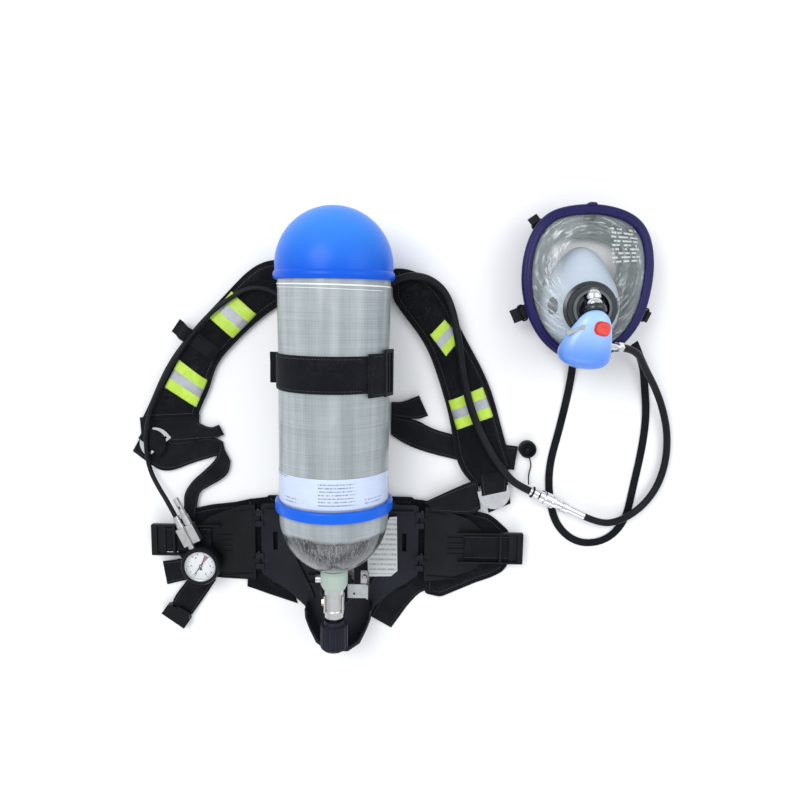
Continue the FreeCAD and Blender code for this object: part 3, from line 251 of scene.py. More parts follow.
class Wiring:
    """Short ways to add and join nodes in a tree."""

    def __init__(self, tree):
        self.tree = tree

    def node(self, kind, **settings):
        made = self.tree.nodes.new("ShaderNode" + kind)
        for key, value in settings.items():
            setattr(made, key, value)
        return made

    def join(self, source, target):
        self.tree.links.new(source, target)

    def feed(self, socket, value):
        if hasattr(value, "is_output"):
            self.join(value, socket)
        else:
            socket.default_value = value

    def maths(self, operation, *values, clamp=False):
        made = self.node("Math", operation=operation, use_clamp=clamp)
        for socket, value in zip(made.inputs, values):
            self.feed(socket, value)
        return made.outputs[0]

    def times(self, *values, **extra):
        return self.maths("MULTIPLY", *values, **extra)

    def plus(self, *values, **extra):
        return self.maths("ADD", *values, **extra)

    def minus(self, *values):
        return self.maths("SUBTRACT", *values)

    def split(self, place):
        made = self.node("SeparateXYZ")
        self.join(place, made.inputs[0])
        return made.outputs

    def level(self, across, along):
        made = self.node("CombineXYZ")
        self.join(across, made.inputs[0])
        self.join(along, made.inputs[1])
        return made.outputs[0]

    def noise(self, place, scale, detail=3.0, rough=0.5, stretch=None):
        if stretch is not None:
            mapping = self.node("Mapping")
            mapping.inputs["Scale"].default_value = stretch
            self.join(place, mapping.inputs["Vector"])
            place = mapping.outputs[0]
        made = self.node("TexNoise")
        self.join(place, made.inputs["Vector"])
        self.feed(made.inputs["Scale"], scale)
        made.inputs["Detail"].default_value = detail
        made.inputs["Roughness"].default_value = rough
        return made.outputs["Fac"]

    def ramp(self, value, low, high, steps="LINEAR"):
        """Map a value from low..high to 0..1."""
        made = self.node("MapRange", interpolation_type=steps, clamp=True)
        self.join(value, made.inputs["Value"])
        self.feed(made.inputs["From Min"], low)
        self.feed(made.inputs["From Max"], high)
        return made.outputs[0]

    def blend(self, factor, first, second):
        made = self.node("Mix", data_type="RGBA")
        self.feed(made.inputs["Factor"], factor)
        self.feed(made.inputs[6], first)
        self.feed(made.inputs[7], second)
        return made.outputs[2]

    def bump(self, height, strength, distance=0.001):
        made = self.node("Bump")
        made.inputs["Strength"].default_value = strength
        made.inputs["Distance"].default_value = distance
        self.join(height, made.inputs["Height"])
        return made.outputs[0]

    def placed(self, source="Object"):
        return self.node("TexCoord").outputs[source]


def moulded_grain_group():
    """Fine spark-eroded grain with slow patches of shine, for moulded plastic and rubber; moulded finishes
    also paint the shine patches paler as highlights.
    """
    group, start, end = new_group("moulded_grain", [
        ("Place", "NodeSocketVector", None), ("Grain", "NodeSocketFloat", 900.0),
        ("Patches", "NodeSocketFloat", 14.0)],
        [("Height", "NodeSocketFloat"), ("Shine", "NodeSocketFloat"), ("Scuff", "NodeSocketFloat")])
    w = Wiring(group)
    grain = w.noise(start.outputs["Place"], start.outputs["Grain"], 2.0)
    patches = w.noise(start.outputs["Place"], start.outputs["Patches"], 5.0, 0.6)
    scratch = w.noise(start.outputs["Place"], 60.0, 8.0, 0.75, (1.0, 9.0, 4.0))
    w.join(grain, end.inputs["Height"])
    w.join(patches, end.inputs["Shine"])
    w.join(w.ramp(scratch, 0.62, 0.74), end.inputs["Scuff"])
    return group


def weave_group():
    """Plain woven cloth: threads over and under, seen from any side."""
    group, start, end = new_group("weave", [
        ("Place", "NodeSocketVector", None), ("Threads", "NodeSocketFloat", 1400.0)],
        [("Height", "NodeSocketFloat"), ("Shade", "NodeSocketFloat")])
    w = Wiring(group)
    apart = w.split(start.outputs["Place"])
    threads = start.outputs["Threads"]
    lean = w.plus(apart[1], apart[2])
    across = w.maths("SINE", w.times(apart[0], threads))
    along = w.maths("SINE", w.times(lean, threads))
    over = w.times(across, along)
    wander = w.noise(start.outputs["Place"], 60.0, 3.0)
    w.join(over, end.inputs["Height"])
    w.join(w.plus(w.times(over, 0.25), wander), end.inputs["Shade"])
    return group


def dust_group():
    """Slow soft patches of dust and handling marks."""
    group, start, end = new_group("dust", [
        ("Place", "NodeSocketVector", None), ("Size", "NodeSocketFloat", 9.0)],
        [("Mask", "NodeSocketFloat")])
    w = Wiring(group)
    cloud = w.noise(start.outputs["Place"], start.outputs["Size"], 6.0, 0.65)
    specks = w.noise(start.outputs["Place"], 260.0, 2.0)
    both = w.times(w.ramp(cloud, 0.45, 0.75), w.ramp(specks, 0.4, 0.7))
    w.join(both, end.inputs["Mask"])
    return group


GRAIN = moulded_grain_group()
WEAVE = weave_group()
DUST = dust_group()


def use_group(w, group, **values):
    made = w.node("Group")
    made.node_tree = group
    for key, value in values.items():
        w.feed(made.inputs[key], value)
    return made.outputs


def material(name, **values):
    """A material with its Principled shader; values set its own sockets."""
    made = bpy.data.materials.new(name)
    made.use_nodes = True
    made.node_tree.nodes.clear()
    w = Wiring(made.node_tree)
    shader = w.node("BsdfPrincipled")
    out = w.node("OutputMaterial")
    w.join(shader.outputs[0], out.inputs["Surface"])
    for key, value in values.items():
        shader.inputs[key.replace("_", " ")].default_value = value
    return made, w, shader


def rgb(red, green, blue):
    return (red, green, blue, 1.0)


# ------------------------------------------------------------------ materials
def moulded(name, colour, rough=0.45, grain=900.0, bump=0.12, light=1.5, scuffs=0.25, coat=0.0,
            soil=0.02, gloss=0.5):
    """Moulded plastic or rubber: fine grain, slow shine patches painted paler as highlights, faint scuffs."""
    made, w, shader = material(name, Coat_Weight=coat, Coat_Roughness=0.25)
    shader.inputs["Specular IOR Level"].default_value = gloss
    place = w.placed()
    marks = use_group(w, GRAIN, Place=place, Grain=grain)
    dust = use_group(w, DUST, Place=place)
    # painted highlight: a paler copy of the colour, light times brighter, laid over the shine patches
    pale = rgb(*[min(1.0, c * light + 0.003) for c in colour])
    with_painted_highlight = w.blend(w.ramp(marks["Shine"], 0.35, 0.7), rgb(*colour), pale)
    worn = w.blend(w.times(marks["Scuff"], scuffs), with_painted_highlight,
                   rgb(*[min(1.0, c * 1.8 + 0.02) for c in colour]))
    dusty = w.blend(w.times(dust["Mask"], soil), worn, rgb(0.35, 0.34, 0.33))
    w.join(dusty, shader.inputs["Base Color"])
    shine = w.plus(w.times(marks["Shine"], 0.22), rough - 0.11)
    w.join(w.plus(shine, w.times(dust["Mask"], 0.1)), shader.inputs["Roughness"])
    w.join(w.bump(marks["Height"], bump, 0.0004), shader.inputs["Normal"])
    return made


def metal(name, colour, rough=0.28, brush=(40.0, 900.0, 40.0), tint=0.75, bump=0.06):
    """Plated or bare metal with a faint direction of polish and fingermarks."""
    made, w, shader = material(name, Metallic=1.0)
    place = w.placed()
    streak = w.noise(place, 1.0, 3.0, 0.6, brush)
    marks = w.noise(place, 70.0, 5.0, 0.6)
    dull = rgb(*[c * tint for c in colour])
    w.join(w.blend(w.ramp(marks, 0.35, 0.75), rgb(*colour), dull), shader.inputs["Base Color"])
    fine = w.times(streak, 0.14)
    w.join(w.plus(w.plus(fine, rough - 0.1), w.times(marks, 0.08)),
           shader.inputs["Roughness"])
    w.join(w.bump(streak, bump, 0.0003), shader.inputs["Normal"])
    return made


def cloth(name, colour, threads=2600.0, bump=0.5, pale=1.7, dust=0.05):
    """Woven nylon with a soft sheen and a little dust."""
    made, w, shader = material(name, Roughness=0.85, Sheen_Weight=0.05, Sheen_Roughness=0.5)
    shader.inputs["Specular IOR Level"].default_value = 0.08
    place = w.placed()
    woven = use_group(w, WEAVE, Place=place, Threads=threads)
    dirt = use_group(w, DUST, Place=place, Size=12.0)
    base = w.blend(w.ramp(woven["Shade"], 0.2, 0.9), rgb(*colour),
                   rgb(*[c * pale + 0.002 for c in colour]))
    w.join(w.blend(w.times(dirt["Mask"], dust), base, rgb(0.3, 0.29, 0.28)),
           shader.inputs["Base Color"])
    w.join(w.bump(woven["Height"], bump, 0.0003), shader.inputs["Normal"])
    return made


def webbing(name, colour):
    """Ribbed harness webbing: cords run along it and stitches cross it."""
    made, w, shader = material(name, Roughness=0.7, Sheen_Weight=0.04, Sheen_Roughness=0.4)
    shader.inputs["Specular IOR Level"].default_value = 0.10
    place = w.placed("UV")
    apart = w.split(place)
    cords = w.maths("SINE", w.times(apart[0], 4200.0))
    picks = w.maths("SINE", w.times(apart[1], 2600.0))
    woven = w.plus(w.times(cords, 0.6), w.times(picks, 0.5))
    cloud = w.noise(w.placed(), 40.0, 4.0)
    shade = w.plus(w.times(woven, 0.22), cloud)
    w.join(w.blend(w.ramp(shade, 0.25, 0.85), rgb(*colour), rgb(*[c * 2.2 + 0.003 for c in colour])),
           shader.inputs["Base Color"])
    w.join(w.bump(woven, 0.45, 0.0003), shader.inputs["Normal"])
    return made


def fading_plastic(name, foot, head, low=0.186, high=0.246,
                   coat=0.35, gloss=0.5):
    """Glossy moulded plastic, paler towards +Y between low and high."""
    made, w, shader = material(name, Coat_Weight=coat, Coat_Roughness=0.2)
    shader.inputs["Specular IOR Level"].default_value = gloss
    place = w.placed()
    marks = use_group(w, GRAIN, Place=place)
    apart = w.split(place)
    wander = w.times(marks["Shine"], 0.012)
    share = w.ramp(w.plus(apart[1], wander), low, high, "SMOOTHSTEP")
    w.join(w.blend(share, rgb(*foot), rgb(*head)), shader.inputs["Base Color"])
    w.join(w.plus(w.times(marks["Shine"], 0.15), 0.25), shader.inputs["Roughness"])
    w.join(w.bump(marks["Height"], 0.04, 0.0004), shader.inputs["Normal"])
    return made


def wound_composite():
    """Clear-coated fibre winding: hoop streaks on the body, bare crossing filaments on the neck."""
    made, w, shader = material("wound_composite", Coat_Weight=0.55, Coat_Roughness=0.16)
    place = w.placed()
    apart = w.split(place)
    x, y = apart[0], apart[1]
    z = w.minus(apart[2], AXIS_Z)
    hoops = w.noise(place, 1.0, 3.0, 0.7, (6.0, 1900.0, 6.0))
    broad = w.noise(place, 1.0, 3.0, 0.6, (4.0, 160.0, 4.0))
    runs = w.noise(place, 1.0, 3.0, 0.6, (75.0, 5.0, 75.0))
    cloud = w.noise(place, 16.0, 5.0, 0.6)
    turn = w.maths("ARCTAN2", x, z)
    lean = w.plus(w.times(turn, 55.0), w.times(y, 900.0))
    counter = w.minus(w.times(turn, 55.0), w.times(y, 900.0))
    cross = w.times(w.maths("SINE", lean), w.maths("SINE", counter))
    mix = w.plus(w.times(hoops, 0.55), w.times(broad, 0.12))
    mix = w.plus(mix, w.times(runs, 0.33))
    body = w.blend(w.ramp(mix, 0.30, 0.70), rgb(0.17, 0.195, 0.20), rgb(0.50, 0.55, 0.575))
    body = w.blend(w.times(w.ramp(cross, 0.1, 0.9), 0.16), body, rgb(0.60, 0.64, 0.65))
    body = w.blend(w.times(w.ramp(cloud, 0.5, 0.7), 0.18), body, rgb(0.64, 0.68, 0.69))
    staves = w.noise(place, 1.0, 2.0, 0.5, (24.0, 0.8, 24.0))
    body = w.blend(w.times(w.ramp(staves, 0.62, 0.40), 0.45), body, rgb(0.19, 0.22, 0.225))

    combined = w.level(w.times(turn, 4.5), w.times(y, 16.0))
    spun = w.noise(combined, 3.2, 5.0, 0.65)
    fibres = w.maths("ABSOLUTE", w.minus(spun, 0.5))
    strands = w.ramp(fibres, 0.017, 0.0)
    neck = w.blend(w.ramp(w.noise(combined, 1.6, 4.0), 0.35, 0.65),
                   rgb(0.014, 0.017, 0.021), rgb(0.060, 0.064, 0.070))
    neck = w.blend(w.times(strands, 0.6), neck, rgb(0.58, 0.62, 0.63))
    wavy = w.plus(y, w.times(w.noise(place, 26.0, 3.0), 0.016))
    on_neck = w.ramp(wavy, -0.052, -0.057)
    collar = w.ramp(y, -0.112, -0.121)
    neck = w.blend(collar, neck, rgb(0.36, 0.42, 0.40))
    w.join(w.blend(on_neck, body, neck), shader.inputs["Base Color"])
    w.join(w.times(on_neck, 0.15), shader.inputs["Metallic"])
    rough = w.minus(w.plus(0.36, w.times(cloud, 0.14)),
                    w.times(on_neck, 0.22))
    w.join(rough, shader.inputs["Roughness"])
    relief = w.plus(w.times(hoops, 0.6), w.times(cross, 0.15))
    relief = w.plus(relief, w.times(w.times(strands, on_neck), 0.9))
    w.join(w.bump(relief, 0.28, 0.0006), shader.inputs["Normal"])
    return made


def printed_sheet(name, paper, ink, rows, marks, blocks, ink_strength=0.75):
    """Paper with rows of short generic marks; the piece's UV map runs 0..1 over it."""
    made, w, shader = material(name, Roughness=0.42, Coat_Weight=0.3, Coat_Roughness=0.2)
    place = w.placed("UV")
    apart = w.split(place)
    u, v = apart[0], apart[1]
    line = w.times(v, rows)
    row = w.maths("FLOOR", line)
    in_row = w.maths("FRACT", line)
    combined = w.level(w.times(u, marks), w.times(row, 7.31))
    dashes = w.noise(combined, 1.0, 2.0, 0.8)
    fine = w.noise(combined, 4.5, 0.0)
    tall = w.times(w.ramp(in_row, 0.25, 0.32), w.ramp(in_row, 0.72, 0.65))
    mark = w.times(w.ramp(dashes, 0.40, 0.43), w.ramp(fine, 0.36, 0.42))
    mark = w.times(mark, tall)
    edge = None
    for left, right, low, high in blocks:
        wide = w.times(w.ramp(u, left, left + 0.003), w.ramp(u, right, right - 0.05))
        tall_in = w.times(w.ramp(v, low, low + 0.005), w.ramp(v, high, high - 0.005))
        block = w.times(wide, tall_in)
        edge = block if edge is None else w.plus(edge, block, clamp=True)
    mark = w.times(w.times(mark, edge), ink_strength)
    wash = w.noise(place, 6.0, 4.0)
    sheet = w.blend(w.ramp(wash, 0.3, 0.7), rgb(*paper), rgb(*[c * 0.94 for c in paper]))
    w.join(w.blend(mark, sheet, rgb(*ink)), shader.inputs["Base Color"])
    return made


# ------------------------------------------------------------------ the finishes
# In each moulded finish the sixth number sets how much paler the painted highlight patches are.
MAT = {
    "composite": wound_composite(),
    "liner_alloy": metal("liner_alloy", (0.62, 0.63, 0.65)),
    "blue_rubber": moulded("blue_cap_rubber", (0.002, 0.110, 0.66), 0.30, 700.0, 0.05, 1.02, 0.02, 0.10,
                           0.004, 0.20),
    # painted shade: the dome darkens towards its foot and pales towards its head, standing in for light from
    # above
    "dome_rubber_painted_shade": fading_plastic("dome_rubber_painted_shade", (0.0005, 0.080, 0.60), (0.040, 0.230, 0.78),
                                  0.285, 0.385, 0.03, 0.15),
    "pale_collar": moulded("pale_collar", (0.33, 0.40, 0.35), 0.5, 500.0, 0.2, 1.2),
    "satin_nickel": metal("satin_nickel", (0.66, 0.66, 0.65), 0.36),
    "brass": metal("brass", (0.75, 0.52, 0.22), 0.3),
    "steel": metal("bright_steel", (0.66, 0.67, 0.68), 0.25),
    "ribbed_rubber": moulded("ribbed_rubber", (0.006, 0.0075, 0.014), 0.45, 700.0, 0.2, 1.5, 0.1, 0.0,
                             0.004, 0.2),
    "black_plastic": moulded("black_nylon", (0.0045, 0.0050, 0.0060), 0.38, 1100.0, 0.12, 1.5, 0.10, 0.0,
                             0.004, 0.16),
    "plate_plastic": moulded("plate_nylon", (0.0060, 0.0075, 0.0120), 0.38, 650.0, 0.22, 1.7, 0.14, 0.0, 0.004,
                             0.20),
    "black_rubber": moulded("black_rubber", (0.0065, 0.0065, 0.0085), 0.5, 800.0, 0.15, 1.5, 0.1, 0.0,
                            0.004, 0.15),
    "pad_fabric": cloth("pad_nylon", (0.0030, 0.0034, 0.0048)),
    "webbing": webbing("harness_webbing", (0.0040, 0.0045, 0.0060)),
    "binding": cloth("edge_binding", (0.0065, 0.007, 0.0095), 3600.0, 0.35),
    "chrome": metal("chrome", (0.80, 0.81, 0.83), 0.16, (30.0, 200.0, 30.0), 0.82, 0.03),
    "dark_steel": metal("dark_steel", (0.20, 0.215, 0.23), 0.22),
    "gauge_white": moulded("dial_white", (0.80, 0.81, 0.82), 0.4, 300.0, 0.02, 1.0, 0.02),
    "needle_black": moulded("needle_black", (0.01, 0.01, 0.01), 0.4, 900.0, 0.05),
    "alloy": metal("cast_alloy", (0.62, 0.62, 0.61), 0.38, (90.0, 90.0, 90.0), 0.7, 0.12),
    "hose_rubber": moulded("hose_rubber", (0.0075, 0.0080, 0.0095), 0.42, 420.0, 0.3, 1.6, 0.12, 0.0,
                           0.004, 0.12),
    "violet_rubber": moulded("violet_rubber", (0.0070, 0.0050, 0.066), 0.40, 800.0, 0.10, 1.25, 0.04, 0.0,
                             0.004, 0.25),
    # painted highlights: the seal lining's shine patches are painted 3.2 times paler
    "lining": moulded("seal_lining", (0.075, 0.090, 0.088), 0.32, 60.0, 0.35, 3.2, 0.6, 0.0, 0.1),
    "grey_silicone": moulded("grey_silicone", (0.50, 0.575, 0.665), 0.38, 200.0, 0.04, 1.08, 0.03, 0.2, 0.03),
    "dark_plastic": moulded("port_plastic", (0.010, 0.014, 0.016), 0.25, 900.0, 0.06, 1.6, 0.1, 0.3, 0.004),
    "pale_blue_plastic": fading_plastic("pale_blue_plastic", (0.085, 0.25, 0.78), (0.36, 0.56, 0.92)),
    "red_plastic": moulded("red_button", (0.62, 0.045, 0.028), 0.36, 900.0, 0.05, 1.2),
    "thread": moulded("grey_thread", (0.055, 0.057, 0.062), 0.7, 900.0, 0.1),
    "pale_thread": moulded("pale_thread", (0.42, 0.43, 0.42), 0.7, 900.0, 0.1),
    "velcro": cloth("hook_and_loop", (0.0040, 0.0050, 0.0075), 1500.0, 0.35, 1.4),
    "film_edge": moulded("film_edge", (0.82, 0.85, 0.85), 0.25, 200.0, 0.1, 1.05),
    "wedge_red": moulded("dial_red", (0.27, 0.10, 0.17), 0.4, 500.0, 0.02),
    "dial_grey": moulded("dial_grey", (0.16, 0.17, 0.19), 0.4, 500.0, 0.02),
}
LABEL = printed_sheet("cylinder_label", (0.58, 0.66, 0.86), (0.10, 0.11, 0.16), 9.0, 80.0,
                      [(0.46, 0.70, 0.10, 0.90), (0.03, 0.10, 0.0, 1.0), (0.20, 0.34, 0.11, 0.33),
                       (0.74, 0.90, 0.11, 0.33), (0.10, 0.26, 0.88, 1.0)])
PLATE_LABEL = printed_sheet("plate_label", (0.62, 0.64, 0.64), (0.12, 0.13, 0.14), 12.0, 26.0,
                            [(0.05, 0.98, 0.04, 0.96)], 0.6)


def clear_window(name, tint, body, low=0.10, high=0.85, rough=0.05):
    """Clear plastic: nearly open face on, brighter and glossier at a slant, where its pale tint grows opaque
    as a painted reflection.
    """
    made, w, shader = material(name, IOR=1.5)
    place = w.placed()
    smear = w.noise(place, body, 6.0, 0.6)
    w.join(w.blend(w.ramp(smear, 0.3, 0.7), rgb(*tint), rgb(*[c * 0.8 for c in tint])),
           shader.inputs["Base Color"])
    w.join(w.plus(w.times(smear, 0.10), rough), shader.inputs["Roughness"])
    slant = w.node("LayerWeight")
    slant.inputs["Blend"].default_value = 0.25
    # painted reflection: opacity rises at a slant (high) over a base haze (low)
    thick = w.plus(w.times(slant.outputs["Facing"], high), low)
    w.join(w.plus(thick, w.times(w.ramp(smear, 0.5, 0.8), 0.10), clamp=True),
           shader.inputs["Alpha"])
    return made


def white_print(name, rows, marks):
    """Rows of short white marks with nothing between them."""
    made, w, shader = material(name, Roughness=0.6)
    shader.inputs["Base Color"].default_value = rgb(0.86, 0.88, 0.88)
    place = w.placed("UV")
    apart = w.split(place)
    line = w.times(apart[1], rows)
    combined = w.level(w.times(apart[0], marks), w.times(w.maths("FLOOR", line), 5.17))
    dashes = w.noise(combined, 1.0, 3.0, 0.8)
    in_row = w.maths("FRACT", line)
    tall = w.times(w.ramp(in_row, 0.22, 0.32), w.ramp(in_row, 0.78, 0.68))
    grain = w.ramp(w.noise(place, 130.0, 2.0), 0.35, 0.6)
    ragged = w.ramp(w.noise(combined, 0.16, 0.0), 0.42, 0.45)
    mark = w.times(w.times(w.ramp(dashes, 0.42, 0.47), tall), grain)
    w.join(w.times(w.times(mark, ragged), 0.85), shader.inputs["Alpha"])
    return made


def hi_vis(name):
    """Lime tape with a silver reflective stripe between, in the piece's own 0..1 map."""
    made, w, shader = material(name, Coat_Weight=0.25, Coat_Roughness=0.3)
    place = w.placed("UV")
    apart = w.split(place)
    v = apart[1]
    silver = w.times(w.ramp(v, 0.335, 0.345), w.ramp(v, 0.665, 0.655))
    cells = w.node("TexVoronoi")
    cells.inputs["Scale"].default_value = 900.0
    w.join(w.placed(), cells.inputs["Vector"])
    beads = w.ramp(cells.outputs["Distance"], 0.2, 0.6)
    cloud = w.noise(w.placed(), 55.0, 4.0)
    lime = w.blend(w.ramp(cloud, 0.35, 0.7), rgb(0.50, 0.72, 0.055), rgb(0.40, 0.60, 0.035))
    grey = w.blend(beads, rgb(0.26, 0.28, 0.30), rgb(0.38, 0.40, 0.42))
    grey = w.blend(w.ramp(cloud, 0.4, 0.7), grey, rgb(0.44, 0.46, 0.48))
    worn = w.blend(silver, lime, grey)
    creased = w.noise(w.placed(), 160.0, 3.0)
    w.join(w.blend(w.times(w.ramp(creased, 0.62, 0.72), 0.25), worn, rgb(0.18, 0.2, 0.17)),
           shader.inputs["Base Color"])
    w.join(w.times(silver, 0.45), shader.inputs["Metallic"])
    w.join(w.plus(0.38, w.times(cloud, 0.2)), shader.inputs["Roughness"])
    w.join(w.bump(w.plus(beads, w.times(creased, 2.0)), 0.25, 0.0003),
           shader.inputs["Normal"])
    return made


def visor_with_painted_glints():
    """Clear visor, creased, with painted highlights: white streaks round its edges stand in for glints, and
    more opacity at a slant is painted reflection.
    """
    made, w, shader = material("visor_clear", IOR=1.5, Roughness=0.12)
    shader.inputs["Base Color"].default_value = rgb(0.84, 0.89, 0.90)
    apart = w.split(w.placed())
    across = w.minus(apart[0], VISOR_EYE.x)
    along = w.minus(apart[1], VISOR_EYE.y)
    reach = w.maths("SQRT", w.plus(w.times(across, across),
                                    w.times(along, along)))
    around = w.maths("ARCTAN2", along, across)
    polar = w.level(w.times(reach, 260.0), w.times(around, 2.6))
    glint_streaks = w.ramp(w.noise(polar, 1.0, 5.0, 0.72), 0.50, 0.66)
    patches = w.ramp(w.noise(w.placed(), 34.0, 3.0), 0.36, 0.60)
    edge = w.ramp(reach, 0.040, 0.052)
    left = w.times(w.ramp(across, -0.004, -0.030), edge)
    right = w.times(w.ramp(across, 0.026, 0.040), 0.55)
    upper = w.times(w.ramp(along, 0.034, 0.056), 0.6)
    where = w.maths("MAXIMUM", w.maths("MAXIMUM", left, right), upper)
    # painted highlights: white streaks where the glint streaks, patches and edge masks meet
    painted_glints = w.times(w.times(glint_streaks, patches), where)
    # painted glare: a faint even whitening over the left edge
    painted_glare = w.times(left, 0.08)
    slant = w.node("LayerWeight")
    slant.inputs["Blend"].default_value = 0.25
    # painted reflection: the pale tint grows more opaque at a slant
    body = w.plus(w.times(slant.outputs["Facing"], 0.25), 0.02)
    thick = w.plus(w.times(painted_glints, 0.72), w.plus(body, painted_glare))
    w.join(w.times(thick, 1.0, clamp=True), shader.inputs["Alpha"])
    w.join(w.bump(glint_streaks, 0.4, 0.0006), shader.inputs["Normal"])
    return made


VISOR_EYE = Vector((0.362, 0.318, 0.08))
VISOR = visor_with_painted_glints()
LENS = clear_window("lens_clear", (0.8, 0.82, 0.84), 30.0, 0.03, 0.5)
PRINT = white_print("visor_print", 9.0, 44.0)
TAPE = hi_vis("hi_vis_tape")

KEPT = {
    "cylinder_wrap": "composite", "cylinder_liner": "liner_alloy", "dome_cap": "dome_rubber_painted_shade",
    "neck_guard_ring": "blue_rubber", "neck_collar": "pale_collar", "valve_body": "satin_nickel",
    "reducer_body": "satin_nickel", "burst_disc_plug": "brass", "valve_spindle": "steel",
    "reducer_bracket": "steel", "hinge_pins": "steel", "plate_screws": "steel",
    "gauge_hose_ferrule": "steel", "lock_lever": "steel", "valve_handwheel": "ribbed_rubber",
    "reducer_hand_nut": "black_plastic", "hip_plate_left": "black_plastic",
    "hip_plate_right": "black_plastic", "waist_buckle_left": "black_plastic",
    "waist_buckle_right": "black_plastic", "side_release_buckle": "black_plastic",
    "band_buckle": "black_plastic", "back_plate": "plate_plastic",
    "cylinder_saddles": "black_rubber", "gauge_boot": "black_rubber", "dust_cap": "black_rubber",
    "harness_straps": "black_rubber", "shoulder_adjusters": "chrome", "coupling_socket": "chrome",
    "coupling_sleeve": "chrome", "coupling_plug": "chrome", "port_ring": "dark_steel",
    "hose_inlet_fitting": "chrome", "gauge_case": "gauge_white", "gauge_needle": "needle_black",
    "gauge_block": "alloy", "warning_whistle": "alloy", "port_housing": "dark_plastic",
    "bypass_button": "red_plastic",
}


def finish_with(piece, finish):
    """Give every slot of a piece one finish."""
    if not piece.material_slots:
        piece.data.materials.append(finish)
    for place in piece.material_slots:
        place.material = finish
    return piece


def finish_kept_nodes():
    for node, finish in KEPT.items():
        finish_with(NODES[node], MAT[finish])
    finish_with(NODES["gauge_lens"], LENS)


def settle(piece, finish, body="pack", replaces=()):
    """Finish a piece and put it on its body."""
    finish_with(piece, finish)
    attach(piece, body)
    if replaces:
        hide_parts(*replaces)
    return piece


# ------------------------------------------------------------------ repeats along a path
def repeat_tree(bead):
    """Small beads or bars set end to end along a path."""
    tree = bpy.data.node_groups.new("beads_on_path" if bead else "bars_on_path", "GeometryNodeTree")
    face = tree.interface
    face.new_socket("Geometry", in_out="INPUT", socket_type="NodeSocketGeometry")
    for label, value in (("Spacing", 0.003), ("Along", 0.002), ("Across", 0.0005), ("Rise", 0.0004)):
        face.new_socket(label, in_out="INPUT", socket_type="NodeSocketFloat").default_value = value
    face.new_socket("Finish", in_out="INPUT", socket_type="NodeSocketMaterial")
    face.new_socket("Geometry", in_out="OUTPUT", socket_type="NodeSocketGeometry")

    def node(kind):
        return tree.nodes.new(kind)

    start, end = node("NodeGroupInput"), node("NodeGroupOutput")
    curve, spaced = node("GeometryNodeMeshToCurve"), node("GeometryNodeResampleCurve")
    spaced.mode = "LENGTH"
    tangent, turn = node("GeometryNodeInputTangent"), node("FunctionNodeAlignEulerToVector")
    turn.axis, turn.pivot_axis = "X", "Z" if not bead else "AUTO"
    size = node("ShaderNodeCombineXYZ")
    if bead:
        stamp = node("GeometryNodeMeshIcoSphere")
        stamp.inputs["Radius"].default_value = 0.5
        stamp.inputs["Subdivisions"].default_value = 2
    else:
        stamp = node("GeometryNodeMeshCube")
    put, real = node("GeometryNodeInstanceOnPoints"), node("GeometryNodeRealizeInstances")
    paint = node("GeometryNodeSetMaterial")
    links = tree.links
    links.new(start.outputs["Geometry"], curve.inputs["Mesh"])
    links.new(curve.outputs["Curve"], spaced.inputs["Curve"])
    links.new(start.outputs["Spacing"], spaced.inputs["Length"])
    links.new(spaced.outputs["Curve"], put.inputs["Points"])
    links.new(stamp.outputs["Mesh"], put.inputs["Instance"])
    links.new(tangent.outputs[0], turn.inputs["Vector"])
    links.new(turn.outputs[0], put.inputs["Rotation"])
    for label, socket in (("Along", 0), ("Across", 1), ("Rise", 2)):
        links.new(start.outputs[label], size.inputs[socket])
    links.new(size.outputs[0], put.inputs["Scale"])
    links.new(put.outputs["Instances"], real.inputs["Geometry"])
    links.new(real.outputs["Geometry"], paint.inputs["Geometry"])
    links.new(start.outputs["Finish"], paint.inputs["Material"])
    links.new(paint.outputs["Geometry"], end.inputs["Geometry"])
    return tree


BEADS = repeat_tree(True)
BARS = repeat_tree(False)


def repeated(name, lines, finish, slot, body="pack", tree=None, **sizes):
    """Stitches or ticks along some lines, as one plain mesh."""
    tree = tree or BEADS
    verts, edges = [], []
    for line in lines:
        base = len(verts)
        verts += [tuple(p) for p in line]
        edges += [(base + i, base + i + 1) for i in range(len(line) - 1)]
    data = bpy.data.meshes.new(name)
    data.from_pydata(verts, edges, [])
    piece = link(bpy.data.objects.new(name, data))
    mod = piece.modifiers.new("repeat", "NODES")
    mod.node_group = tree
    named = {item.name: item.identifier for item in tree.interface.items_tree
             if item.item_type == "SOCKET" and item.in_out == "INPUT"}
    for label, value in sizes.items():
        mod[named[label]] = value
    mod[named["Finish"]] = finish
    made = as_mesh(piece)
    piece.modifiers.clear()
    piece.data = made
    made.polygons.foreach_set("use_smooth", [tree == BEADS] * len(made.polygons))
    return settle(piece, finish, body)


# ------------------------------------------------------------------ camera, light and floor
def make_camera():
    tilt, roll = math.radians(8.0), math.radians(0.8)
    right = Vector((1, 0, 0))
    up = Vector((0, math.cos(tilt), -math.sin(tilt)))
    ahead = Vector((0, -math.sin(tilt), -math.cos(tilt)))
    side = right * math.cos(roll) + up * math.sin(roll)
    top = up * math.cos(roll) - right * math.sin(roll)
    data = bpy.data.cameras.new("camera")
    data.sensor_width = 36.0
    data.lens = 31.05
    data.clip_start = 0.05
    holder = link(bpy.data.objects.new("camera", data))
    turned = Matrix((side, top, -ahead)).transposed().to_4x4()
    holder.matrix_world = Matrix.Translation((0.0934, 0.260, 1.078)) @ turned
    bpy.context.scene.camera = holder


def area_light(name, place, aim, size, power, tint=(1, 1, 1)):
    data = bpy.data.lights.new(name, "AREA")
    data.shape = "RECTANGLE"
    data.size, data.size_y = size
    data.energy = power
    data.color = tint
    lamp = link(bpy.data.objects.new(name, data))
    away = Vector(place) - Vector(aim)
    lamp.matrix_world = Matrix.Translation(place) @ away.to_track_quat("Z", "Y").to_matrix().to_4x4()


